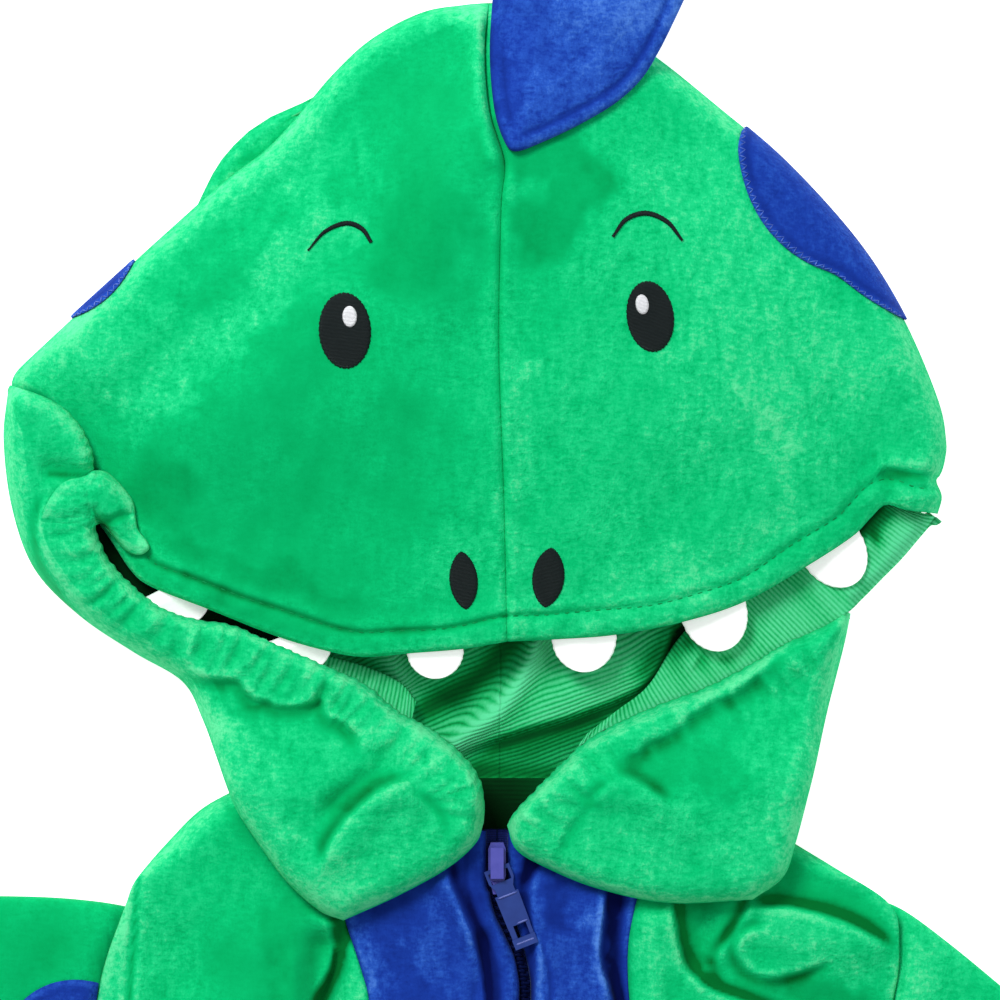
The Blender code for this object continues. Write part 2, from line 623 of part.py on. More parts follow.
def hood_back(name, side, outline):
    """One half of the hood's back, lying on the table inside the rolled edges."""
    line = smooth(outline)
    line = line[line[:, 1] > NECK_SEAM - 6]
    shown = np.where(line[:, 0] < 0, np.sin(math.pi * np.clip((line[:, 1] - 191) / 52, 0, 1)) ** 2, 0)
    line = set_in(line, side, (3.2 - PEEP * shown)[:, None])
    rows_y = np.concatenate([[259, 254, 245, 232, 216, 198, 180, 160, 140, 120, 102],
                             np.linspace(88, 30, 9), [NECK_SEAM + GAP]])
    down = line[::-1]
    edge_x = np.interp(rows_y, down[:, 1], down[:, 0])
    share = np.array([0, .06, .14, .23, .35, .55, .8, 1])
    start = side * GAP / 2
    x = start + (edge_x[:, None] - start) * share
    plan = np.dstack([x, np.repeat(rows_y[:, None], len(share), 1)])
    calm = ease(gap_to(plan, line) / 20)
    grid = np.dstack([plan, CLOTH + folds(plan, BACK_FOLDS) * calm])
    normal = wall(name, grid, GREEN_RIBBED, seams=[(0, slice(None))])
    panels[name] = (grid, normal, None, None)


def body_height(xy):
    """Outer height of the body fronts, before any roll beside the zip."""
    rise = BODY_RISE * (1 - np.clip(xy[..., 0] / BODY_HALF, -1, 1) ** 2)
    top = BODY_TOP + rise + 3.0 * ease((-34 - xy[..., 1]) / 30) + folds(xy, BODY_FOLDS)
    top -= 2.5 * ease((-330 - xy[..., 1]) / 120)
    away = np.where(inside(xy, hood_loop), 0, gap_to(xy, hood_loop))
    top = np.minimum(top, UNDER_HOOD + 0.7 * away)
    armhole = ease((3 - xy[..., 1]) / 12) * ease((xy[..., 1] + 141) / 15)
    base = np.where(np.abs(xy[..., 0]) > 80, SLEEVE_SEAM * armhole, 0)
    edge = np.min([gap_to(xy, line) for line in body_edges], axis=0)
    return base + (top - base) * turn(edge, ROLL), base


def x_on(line, y):
    """Where a line that runs down the body passes each y."""
    order = np.argsort(line[:, 1])
    return np.interp(y, line[order, 1], line[order, 0])


def front(name, side, outline, belly):
    """A body front with its leg, in sections from the neck to the leg's hem."""
    rows_y = np.concatenate([[19, 12], BODY_ROWS, [-299, -316, -329, -334, -339, -350, -368, -395,
                             -425, -455, -490, -530, LEG_HEM]])
    edge = smooth(outline)
    seam = smooth(belly) + (side * 1.5 * GAP, 0)
    leg = inner_leg_right if side > 0 else inner_leg_left
    inner_x = np.where(rows_y > BELLY_END - 2, x_on(seam, rows_y), side * GAP / 2)
    inner_x = np.where(rows_y < CROTCH, x_on(leg, rows_y), inner_x)
    outer_x = x_on(edge, rows_y)
    u = []
    for a, b, y in zip(inner_x, outer_x, rows_y):
        near = [0, 1.6, 6] if y < CROTCH else [0, 4, 9]
        far = [2 * ROLL] + roll_steps(ROLL, (0, 40, 90))
        u.append(columns(abs(b - a), near, [.25, .5, .75], far))
    u = np.array(u)
    x = inner_x[:, None] + (outer_x - inner_x)[:, None] * u
    plan = np.dstack([x, np.repeat(rows_y[:, None], u.shape[1], 1)])
    height, base = body_height(plan)
    grid = np.dstack([plan, height])
    normal = wall(name, grid, GREEN_PLUSH, floor=base, seams=[(0, rows_y > CROTCH)])
    panels[name] = (grid, normal, u, rows_y)


def belly(name, side, outline):
    """Half of the belly, rolled down beside the zip and flat at its outer seam."""
    rows_y = BODY_ROWS
    middle = x_on(zip_line, rows_y)
    clear = np.where(rows_y > -12, 3.2, 2.6)
    inner_x = middle + side * clear
    outer_x = x_on(smooth(outline), rows_y)
    outer_x = np.where(side * (outer_x - inner_x) < 6, inner_x + side * 6, outer_x)
    u = []
    for a, b in zip(inner_x, outer_x):
        u.append(columns(abs(b - a), [0, .5, 3, 6], [.3, .55, .8], [3.2, 0]))
    u = np.array(u)
    x = inner_x[:, None] + (outer_x - inner_x)[:, None] * u
    plan = np.dstack([x, np.repeat(rows_y[:, None], u.shape[1], 1)])
    plan[..., 1] += 9 * ease(np.abs(plan[..., 0] - middle[:, None]) / 50) * ease((rows_y[:, None] + 14) / 20)
    height, base = body_height(plan)
    away = np.abs(plan[..., 0] - inner_x[:, None])
    height = ZIP_EDGE + (height - ZIP_EDGE) * turn(away, 3.0)
    grid = np.dstack([plan, height])
    floor = np.where(away < 3, ZIP_EDGE, 0)
    normal = wall(name, grid, BLUE_PLUSH, floor=floor, seams=[(-1, slice(None))])
    panels[name] = (grid, normal, u, rows_y)


def sleeve(name, table):
    """A flattened tube of cloth, in sections across it."""
    table = at(smooth(table), np.array([0, .07, .15, .24, .34, .44, .55, .66, .77, .88, 1]))
    up = np.radians([0, 14, 30, 48, 68, 90, 112, 132, 150, 166, 180])
    down = np.radians([196, 212, 240, 300, 328, 344])
    rings = []
    for ax, ay, bx, by, height in table:
        middle = np.array([(ax + bx) / 2, (ay + by) / 2])
        half = np.array([(ax - bx) / 2, (ay - by) / 2])
        side_height = 0.36 * height
        plan = middle + np.cos(np.concatenate([up, down]))[:, None] * half
        crest = np.sin(up) ** 0.55
        top = side_height + (height - side_height) * crest
        top += folds(plan[:len(up)], SLEEVE_FOLDS) * crest**2
        sink = np.clip(np.abs(np.sin(down)) / 0.5, 0, 1)
        under = side_height * (1 - sink) ** 2
        rings.append(np.column_stack([plan, np.concatenate([top, under])]))
    grid = np.array(rings)
    normal = wall(name, grid, GREEN_PLUSH, ring=True)
    panels[name] = (grid, normal, None, None)


def set_in(line, side, by):
    """A line moved sideways by a distance, towards the middle where by is positive."""
    along = np.gradient(line, axis=0)
    along /= np.linalg.norm(along, axis=1, keepdims=True)
    return line + np.stack([along[:, 1], -along[:, 0]], -1) * side * by


def back():
    """The body's back with the leg backs, one flat piece on the table."""
    def edge(line, side, armhole):
        """The side edge from neck to leg hem, straight along the armhole."""
        line = set_in(line, side, 3.6)
        over = line[line[:, 1] > -13]
        under = line[line[:, 1] < -124]
        over = np.vstack([[np.interp(NECK_SEAM, *over[1::-1].T[::-1]), NECK_SEAM], over[::4]])
        return np.vstack([over, armhole, under[::9], [[under[-1, 0], LEG_HEM]]])
    right = edge(body_right, 1, [(110.5, -16), (102.3, -123)])
    left = edge(body_left, -1, [(-112, -17), (-112, -122)])
    leg = set_in(smooth(INNER_LEG, 3), -1, 3.4)
    leg[0] = (0.0, CROTCH + 3.6)
    leg[-1, 1] = LEG_HEM
    notch = np.vstack([leg[::-1], (leg * (-1, 1))[1:]])
    solids["back"] = prism("back", np.vstack([right, notch, left[::-1]]), 0.0, CLOTH, GREEN_PLUSH)


def facing(name, lower, upper, heights, fall, rolled=None):
    """A strip of the casing's wrong side, between its upper and lower edges."""
    across = np.linspace(0, 1, 6)
    rows = np.linspace(0, 1, 12)
    start, stop = at(smooth(lower), rows), at(smooth(upper), rows)
    plan = start[:, None] + (stop - start)[:, None] * across[None, :, None]
    height = np.interp(rows, [0, 0.6, 0.8, 1], heights)[:, None] - fall * across
    if rolled is not None:
        height = height * turn(gap_to(plan, smooth(rolled)), 5.0)
    grid = np.dstack([plan, height])
    normal = wall(name, grid, GREEN_RIBBED, thick=CLOTH)
    panels[name] = (grid, normal, None, None)


def tooth(name, x, y, angle, width, length, droop, trees):
    """A half round of felt behind the hem, its root hidden under the upper jaw."""
    turned = math.radians(angle)
    out = np.array([math.cos(turned), math.sin(turned)])
    side = np.array([-out[1], out[0]])
    root = 4.0
    along = np.concatenate([[-root, 0], length * np.sin(np.radians([26, 50, 70, 87]))])
    half = np.where(along < 0, width / 2, 0.0)
    round_part = np.clip(along / length, 0, 1)
    half = np.where(along < 0, half, width / 2 * np.sqrt(1 - round_part**2))
    rows = []
    for step, reach in zip(along, half):
        rows.append([np.array([x, y]) + out * step + side * reach * t for t in np.linspace(-1, 1, 6)])
    plan = np.array(rows)
    roof = min(under_at(trees, *point) for point in plan[:2].reshape(-1, 2))
    roof = min(roof, under_at(trees, *(np.array([x, y]) - out * root)))
    sag = droop * (1 - (1 - round_part) ** 2)
    height = np.repeat((roof - 0.45 - sag)[:, None], plan.shape[1], 1)
    grid = np.dstack([plan, height])
    wall(name, grid, WHITE_FELT, thick=FELT)


def on_panel(name, u, v, lift):
    """A point over a panel, at its own shares u and v."""
    grid, normal, shares, rows = panels[name]
    r = int(np.clip(np.searchsorted(rows, v) - 1, 0, len(rows) - 2))
    t = (v - rows[r]) / (rows[r + 1] - rows[r])
    found = []
    for k in (r, r + 1):
        place = [np.interp(u, shares[k], grid[k, :, axis]) for axis in range(3)]
        facing_out = [np.interp(u, shares[k], normal[k, :, axis]) for axis in range(3)]
        found.append((np.array(place), np.array(facing_out)))
    point = found[0][0] * (1 - t) + found[1][0] * t
    direction = found[0][1] * (1 - t) + found[1][1] * t
    return point + lift * direction / np.linalg.norm(direction)


def edge_spot(name, panel, outline, ends, depth):
    """An applied spot that wraps over the hood's edge, made from the panel's points."""
    line = smooth(outline)
    start, stop = (fraction_near(line, np.array(end)) for end in ends)
    rows = np.linspace(start, stop, 11)
    grid = []
    for v, share in zip(rows, np.linspace(0.03, 0.97, 11)):
        shares, seam_v = panels[panel][2], panels[panel][3]
        reach = depth * math.sin(math.pi * share) ** 0.75
        steps = [d for d in (0, 0.6, 2.1, 4.2, 8, 14) if d < reach - 0.8] + [reach]
        steps = np.interp(np.linspace(0, len(steps) - 1, 7), range(len(steps)), steps)
        row = int(np.clip(np.searchsorted(seam_v, v), 0, len(seam_v) - 1))
        length = np.linalg.norm(panels[panel][0][row, -1, :2] - panels[panel][0][row, 0, :2])
        grid.append([on_panel(panel, 1 - d / length, v, SPOT_LIFT + STITCHED) for d in steps])
    grid = np.array(grid)
    grid[..., 2] = np.maximum(grid[..., 2], 0.6)
    wall(name, grid, BLUE_PLUSH, thick=STITCHED, floor=0.4)


def brow(name, line, trees):
    """A thin embroidered arc."""
    middle = at(smooth(line), np.linspace(0, 1, 12))
    along = np.gradient(middle, axis=0)
    side = np.stack([-along[:, 1], along[:, 0]], -1)
    side /= np.linalg.norm(side, axis=1, keepdims=True)
    wide = BROW_WIDTH * (0.45 + 0.55 * np.sin(math.pi * np.linspace(0.08, 0.92, 12)))
    plan = np.stack([middle + side * (wide * t)[:, None] for t in (-0.5, 0.5)], 1)
    height = [[top_at(trees, *point) + 0.5 + STITCHED for point in row] for row in plan]
    wall(name, np.dstack([plan, np.array(height)]), BLACK_THREAD, thick=STITCHED)


def fin(trees):
    """The two-layer crest, sewn into the centre seam and lying over on the right."""
    outline = at(np.vstack([smooth(FIN + FIN[:1]), [FIN[0]]]), np.linspace(0, 1, 33)[:-1])
    closed = np.vstack([outline, outline[:1]])

    def low(x, y, share):
        near = [(x + a, y + b) for a in (-2, 0, 2) for b in (-2, 0, 2)]
        point = np.array([[x, y]])
        past = 0.0 if inside(point, hood_loop)[0] else gap_to(point, hood_loop)[0]
        droop = 14.2 - 0.2 * past
        return max(max(top_at(trees, *place) for place in near) + GAP, droop)

    def high(x, y, share):
        away = gap_to(np.array([[x, y]]), closed)[0]
        return low(x, y, share) + FIN_EDGE + FIN_PUFF * math.sqrt(min(1.0, away / 15))

    pad("fin", outline, low, high, BLUE_PLUSH, rings=(1.0, 0.92, 0.7, 0.36))


def casing_corner(trees):
    """The bunched end of the casing over the left mouth corner."""
    outline = at(smooth(CASING_CORNER), np.linspace(0, 1, 25)[:-1])

    def low(x, y, share):
        near = [(x + a, y + b) for a in (-2.5, 0, 2.5) for b in (-2.5, 0, 2.5)]
        return max(top_at(trees, *place) for place in near) + 0.7

    def high(x, y, share):
        return low(x, y, share) + 1.6 + 3.0 * math.sqrt(max(0.0, 1 - share**2))

    pad("casing_corner_left", outline, low, high, GREEN_PLUSH, rings=(1.0, 0.85, 0.5))


def sleeve_spot(tree):
    """The applied spot on the left sleeve, up to the body's edge."""
    outline = oval(*SLEEVE_SPOT, count=22)
    outline[:, 0] = np.minimum(outline[:, 0], SLEEVE_SPOT_STOP + 0.02 * (outline[:, 1] + 60))

    def low(x, y, share):
        return top_at([tree], x, y) + 0.5

    pad("spot_sleeve_left", outline, low, lambda x, y, s: low(x, y, s) + STITCHED, BLUE_PLUSH)


def zip_parts():
    """Tapes, chain, slider and pull tab."""
    y = np.array([6.5, 0, -9, -16, -23, -30, -37, -45, -55, -75, -100, -130, -180, -240, BELLY_END + 4])
    x = x_on(zip_line, y)
    for name, side in (("zip_tape_left", -1), ("zip_tape_right", 1)):
        plan = np.dstack([x[:, None] + side * np.array([[2.6, 9.5]]), np.column_stack([y, y])])
        wall(name, np.dstack([plan, np.full(plan.shape[:2], TAPE_TOP)]), ZIP_CLOTH, thick=0.8)
    plan = np.dstack([x[:, None] + np.array([[-2.2, 2.2]]), np.column_stack([y, y])])
    wall("zip_chain", np.dstack([plan, np.full(plan.shape[:2], CHAIN_TOP)]), ZIP_METAL, thick=1.8)

    px, py, pz = PIVOT
    body = [(px - 1.9, 2.6), (px + 1.9, 2.6), (px + 2.7, 0.6), (px + 2.7, -7.6), (px + 1.2, -13.4),
            (px - 1.2, -13.4), (px - 2.7, -7.6), (px - 2.7, 0.6)]
    slider = prism("zip_slider", body, CHAIN_TOP + GAP, pz - 1.1, ZIP_METAL)
    crown = prism("crown", [(px - 2, 1.2), (px + 2, 1.2), (px + 2, -8.4), (px - 2, -8.4)], pz - 1.6,
                  pz + 2.3, ZIP_METAL)
    hollow = prism("hollow", [(px - 4, -0.2), (px + 4, -0.2), (px + 4, -7.5), (px - 4, -7.5)],
                   pz - 1.1, pz + 1.1, ZIP_METAL)
    combine(crown, hollow, "DIFFERENCE")
    combine(slider, crown, "UNION")
    solids["zip_slider"] = slider

    def box(name, left, right, start, stop, low, high):
        """A block on the tab, whose length runs down from the pivot."""
        return prism(name, [(left, -start), (right, -start), (right, -stop), (left, -stop)], low, high,
                     ZIP_METAL)

    tab = prism("zip_pull_tab", [(-4.1, 0.6), (4.1, 0.6), (4.1, -3.6), (2.9, -6.2), (2.9, -8.0),
                                 (3.8, -8.0), (3.6, -19.0), (-3.6, -19.0), (-3.8, -8.0), (-2.9, -8.0),
                                 (-2.9, -6.2), (-4.1, -3.6)], -0.55, 0.55, ZIP_METAL)
    combine(tab, box("eye", -3.2, 3.2, 0.6, 4.1, -2, 2), "DIFFERENCE")
    combine(tab, box("window", -1.8, 2.3, 18.2, 22.2, -2, 2), "DIFFERENCE")
    combine(tab, box("arm_left", -3.5, -1.8, 18.0, 23.0, -0.5, 0.6), "UNION")
    combine(tab, box("arm_right", 2.3, 3.5, 18.0, 23.0, -0.5, 0.6), "UNION")
    combine(tab, box("bar", -3.7, 3.7, 22.2, 25.4, -0.6, 1.5), "UNION")
    tab.rotation_euler = (0, 0, TAB_ANGLE)
    tab.location = Vector(PIVOT) * MM
    solids["zip_pull_tab"] = tab


for old in list(bpy.data.objects):
    bpy.data.objects.remove(old, do_unlink=True)

GREEN_PLUSH = material("green_plush", GREEN)
GREEN_RIBBED = material("green_ribbed", DULL_GREEN)
BLUE_PLUSH = material("blue_plush", BLUE)
WHITE_FELT = material("white_felt", WHITE)
BLACK_THREAD = material("black_thread", BLACK, 0.5)
WHITE_THREAD = material("white_thread", WHITE, 0.5)
ZIP_CLOTH = material("zip_cloth", ZIP_BLUE, 0.8)
ZIP_METAL = material("zip_paint", ZIP_BLUE, 0.3)

face("face_left", -1, FACE_LEFT, HEM_LEFT, FACE_FOLDS + FIN_RIDGE)
face("face_right", 1, FACE_RIGHT, HEM_RIGHT, FACE_FOLDS)
cheek("cheek_left", LIP_LEFT, RIM_LEFT, HOOD_LEFT[10:], CHEEK_END_LEFT, 13)
cheek("cheek_right", LIP_RIGHT, RIM_RIGHT, HOOD_RIGHT[14:], CHEEK_END_RIGHT, 8)
hood_back("hood_back_left", -1, HOOD_LEFT)
hood_back("hood_back_right", 1, HOOD_RIGHT)
facing("facing_left", *FACING_LEFT, 1.8)
facing("facing_right", *FACING_RIGHT, 0.8, rolled=FACING_RIGHT_EDGE)
front("front_left", -1, BODY_LEFT, BELLY_LEFT)
front("front_right", 1, BODY_RIGHT, BELLY_RIGHT)
belly("belly_left", -1, BELLY_LEFT)
belly("belly_right", 1, BELLY_RIGHT)
back()
sleeve("sleeve_left", SLEEVE_LEFT)
sleeve("sleeve_right", SLEEVE_RIGHT)

face_trees = [surface("face_left"), surface("face_right")]
for number, row in enumerate(TEETH, 1):
    tooth(f"tooth_{number}", *row, face_trees)
for name, (x, y, wide, high, tilt, point, lift, colour) in OVALS.items():
    finish = WHITE_THREAD if colour == WHITE else BLACK_THREAD
    pad(name, oval(x, y, wide, high, tilt, point, 14),
        lambda a, b, s, lift=lift: top_at(face_trees, a, b) + lift,
        lambda a, b, s, lift=lift: top_at(face_trees, a, b) + lift + STITCHED, finish)
for name, line in BROWS.items():
    brow(name, line, face_trees)
edge_spot("spot_hood_right", "face_right", FACE_RIGHT, SPOT_RIGHT_ENDS, SPOT_RIGHT_DEPTH)
edge_spot("spot_hood_left", "face_left", FACE_LEFT, SPOT_LEFT_ENDS, SPOT_LEFT_DEPTH)
fin(face_trees)
casing_corner([surface("face_left"), surface("cheek_left")])
sleeve_spot(surface("sleeve_left"))
zip_parts()
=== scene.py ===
# A toddler's dinosaur romper in plush, laid flat on a white table with the hood face up
# Lengths are in millimetres until a mesh is made

import math

import bpy
import numpy as np
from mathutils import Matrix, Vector
from mathutils.bvhtree import BVHTree


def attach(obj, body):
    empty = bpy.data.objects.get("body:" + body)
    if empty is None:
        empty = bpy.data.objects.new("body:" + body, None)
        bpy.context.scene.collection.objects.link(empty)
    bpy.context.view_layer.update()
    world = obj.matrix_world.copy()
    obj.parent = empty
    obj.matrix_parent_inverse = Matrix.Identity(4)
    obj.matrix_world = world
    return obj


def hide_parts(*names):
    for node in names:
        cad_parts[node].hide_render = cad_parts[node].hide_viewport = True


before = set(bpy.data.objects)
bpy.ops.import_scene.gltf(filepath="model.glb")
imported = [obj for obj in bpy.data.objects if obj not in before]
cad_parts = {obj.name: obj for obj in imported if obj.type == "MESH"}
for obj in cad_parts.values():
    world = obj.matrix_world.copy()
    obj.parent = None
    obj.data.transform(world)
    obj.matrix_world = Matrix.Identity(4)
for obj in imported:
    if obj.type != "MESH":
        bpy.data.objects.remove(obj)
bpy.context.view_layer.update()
mm = 0.001
cloth = 2.4  # the plush with its pile
seamGap = 0.3
garments = {}  # panel name: its outer points and normals
pieces = {}


# Curves, distances and soft forms

def curve(points, steps=10):
    p = np.array(points, float)
    p = np.vstack([2 * p[0] - p[1], p, 2 * p[-1] - p[-2]])
    t = np.arange(steps)[:, None] / steps
    spans = []
    for a, b, c, d in zip(p, p[1:], p[2:], p[3:]):
        spans.append(0.5 * (2 * b + (c - a) * t + (2 * a - 5 * b + 4 * c - d) * t**2
                            + (3 * b - a - 3 * c + d) * t**3))
    return np.vstack(spans + [p[-2:-1]])


def pointsAt(line, share):
    steps = np.linalg.norm(np.diff(line, axis=0), axis=1)
    run = np.concatenate([[0], np.cumsum(steps)])
    where = np.asarray(share) * run[-1]
    return np.stack([np.interp(where, run, line[:, k]) for k in range(line.shape[1])], -1)


def lengthOf(line):
    return np.linalg.norm(np.diff(line, axis=0), axis=1).sum()


def shareNear(line, point):
    tries = np.linspace(0, 1, 801)
    return tries[np.linalg.norm(pointsAt(line, tries) - point, axis=1).argmin()]


def measure(xy, line):
    # distance from a line, the share along it and the side of it (+1 to the left of its run)
    flat = xy.reshape(-1, 2)
    start, step = line[:-1], np.diff(line, axis=0)
    size = np.maximum((step * step).sum(-1), 1e-9)
    runs = np.concatenate([[0], np.cumsum(np.sqrt(size))])
    away, share, side = np.empty(len(flat)), np.empty(len(flat)), np.empty(len(flat))
    for k in range(0, len(flat), 3000):
        to = flat[k:k + 3000, None] - start
        t = np.clip((to * step).sum(-1) / size, 0, 1)
        gap = to - t[..., None] * step
        far = (gap * gap).sum(-1)
        best = far.argmin(1)
        rows = np.arange(len(best))
        away[k:k + 3000] = np.sqrt(far[rows, best])
        share[k:k + 3000] = (runs[best] + t[rows, best] * np.sqrt(size[best])) / runs[-1]
        turned = step[best, 0] * gap[rows, best, 1] - step[best, 1] * gap[rows, best, 0]
        side[k:k + 3000] = np.sign(turned)
    shape = xy.shape[:-1]
    return away.reshape(shape), share.reshape(shape), side.reshape(shape)


def gapTo(xy, line):
    return measure(xy, line)[0]


def within(xy, loop):
    flat = xy.reshape(-1, 2)
    x1, y1 = loop[:, 0], loop[:, 1]
    x2, y2 = np.roll(x1, -1), np.roll(y1, -1)
    rise = np.where(y2 == y1, 1e-9, y2 - y1)
    found = np.zeros(len(flat), bool)
    for k in range(0, len(flat), 4000):
        x, y = flat[k:k + 4000, 0, None], flat[k:k + 4000, 1, None]
        crosses = ((y1 > y) != (y2 > y)) & (x < (x2 - x1) * (y - y1) / rise + x1)
        found[k:k + 4000] = crosses.sum(-1) % 2 == 1
    return found.reshape(xy.shape[:-1])


def ease(t):
    t = np.clip(t, 0, 1)
    return t * t * (3 - 2 * t)


def rolled(distance, radius):
    return np.sqrt(1 - (1 - np.clip(distance / radius, 0, 1)) ** 2)


def bell(distance, width):
    return np.exp(-((distance / width) ** 2))


def strokeLine(points):
    line = np.array(points, float).reshape(-1, 2)
    return curve(line, 6) if len(line) > 2 else line


def strokes(xy, table):
    # soft ridges, troughs or patches: a line through any number of points, a width and an amount
    total = np.zeros(xy.shape[:-1])
    for *points, width, amount in table:
        total += amount * bell(gapTo(xy, strokeLine(points)), width)
    return total


def ledges(xy, table, shine=0.95):
    # folds with one steep side: the cloth left of each line stands above what lies right of it
    height, shade = np.zeros(xy.shape[:-1]), np.zeros(xy.shape[:-1])
    for *points, reach, amount in table:
        line = curve(np.array(points, float).reshape(-1, 2), 8)
        away, share, side = measure(xy, line)
        over = away * side
        fade = ease(np.minimum(share, 1 - share) * lengthOf(line) / 9)
        high = ease(0.5 + over / 1.8)
        height += amount * fade * (high * bell(over, reach) - 0.5 * (1 - high) * bell(over, 0.7 * reach))
        # the shade: a painted highlight on the raised edge, as strong as shine, and a painted shadow below
        # the step
        shade += fade * min(1, amount / 2.2) * (shine * bell(over - 1.1, 1.5) - 1.7 * bell(over + 1.6, 2.2))
    return height, shade


def patches(xy, table):
    # the nap's patches: flat inside, with rather crisp edges that wander
    bend = [3.4 * waver(xy, 30, seed) + 1.3 * waver(xy, 8, seed + 1) for seed in (61, 63)]
    bent = xy + np.stack(bend, -1)
    total = np.zeros(xy.shape[:-1])
    for *points, width, amount in table:
        total += amount * (1 - ease((gapTo(bent, strokeLine(points)) / width - 0.5) / 0.9))
    return total


def waver(xy, size, seed, count=9):
    # an even, uneven surface: crossing waves of about this size, from -1 to 1
    dice = np.random.default_rng(seed)
    total = np.zeros(xy.shape[:-1])
    for k in range(count):
        angle, pace, phase = dice.uniform(0, math.tau), dice.uniform(0.6, 1.7), dice.uniform(0, math.tau)
        total += np.sin(math.tau / size * pace * (xy[..., 0] * math.cos(angle) + xy[..., 1] * math.sin(angle))
                        + phase)
    return total / math.sqrt(count)


def coons(inner, outer, first, last, u, v):
    v = np.asarray(v)[:, None] * np.ones_like(u)
    uu, vv = u[..., None], v[..., None]
    edges = (1 - uu) * pointsAt(inner, v) + uu * pointsAt(outer, v)
    edges += (1 - vv) * pointsAt(first, u) + vv * pointsAt(last, u)
    ends = ((1 - uu) * (1 - vv) * inner[0] + uu * (1 - vv) * outer[0]
            + (1 - uu) * vv * inner[-1] + uu * vv * outer[-1])
    return edges - ends


def across(length, near, count, far):
    # shares over a width: close steps at both ends and even ones between
    near, far = np.array(near, float), np.array(far, float)
    fit = min(1.0, 0.8 * length / (near[-1] + far[0] + 1e-9))
    low, high = near[-1] * fit, length - far[0] * fit
    middle = np.linspace(low, high, count + 2)[1:-1]
    return np.concatenate([near * fit, middle, length - far * fit]) / length


def rollSteps(radius, count):
    angles = np.linspace(0, math.pi / 2, count)
    return radius * (1 - np.sin(angles))


def setIn(line, side, by):
    step = np.gradient(line, axis=0)
    step /= np.linalg.norm(step, axis=1, keepdims=True)
    return line + np.stack([step[:, 1], -step[:, 0]], -1) * side * by


def xOn(line, y):
    order = np.argsort(line[:, 1])
    return np.interp(y, line[order, 1], line[order, 0])


def fill(innerX, outerX, rowsY, u):
    # a panel's plan: rows from an inner to an outer edge
    x = innerX[:, None] + (outerX - innerX)[:, None] * u
    return np.dstack([x, np.repeat(rowsY[:, None], u.shape[-1], 1)])


# Meshes

def meshPiece(name, corners, faces, materials, which=None, marks=None, body="costume", smooth=True):
    mesh = bpy.data.meshes.new(name)
    mesh.from_pydata((np.asarray(corners) * mm).tolist(), [], faces)
    for material in materials:
        mesh.materials.append(material)
    if which is not None:
        mesh.polygons.foreach_set("material_index", which)
    for key, values in (marks or {}).items():
        mesh.attributes.new(key, "FLOAT", "POINT").data.foreach_set("value", np.asarray(values, np.float32))
    if smooth:
        mesh.shade_smooth()
    made = bpy.data.objects.new(name, mesh)
    bpy.context.scene.collection.objects.link(made)
    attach(made, body)
    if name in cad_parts:  # it takes the place of its plain solid
        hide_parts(name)
    pieces[name] = made


def ringFaces(rings, count, start=0):
    # quads between rings of points, each ring closed on itself
    quads = []
    for r in range(start, start + (rings - 1) * count, count):
        for c in range(count):
            d = (c + 1) % count
            quads.append((r + c, r + d, r + count + d, r + count + c))
    return quads


def normals(grid, ring=False):
    wide = np.roll(grid, -1, 1) - np.roll(grid, 1, 1) if ring else np.gradient(grid, axis=1)
    normal = np.cross(wide, np.gradient(grid, axis=0))
    size = np.linalg.norm(normal, axis=-1, keepdims=True)
    normal = np.where(size > 1e-9, normal / np.maximum(size, 1e-9), (0, 0, 1))
    if ring:
        return normal * np.sign(((grid - grid.mean(1, keepdims=True)) * normal).sum()), wide
    return normal * np.sign(normal[..., 2].mean()), wide


def blurred(values, times, ring=False):
    for _ in range(times):
        padded = np.pad(values, ((1, 1), (0, 0)), "edge")
        values = (padded[:-2] + 2 * values + padded[2:]) / 4
        padded = np.pad(values, ((0, 0), (1, 1)), "wrap" if ring else "edge")
        values = (padded[:, :-2] + 2 * values + padded[:, 2:]) / 4
    return values


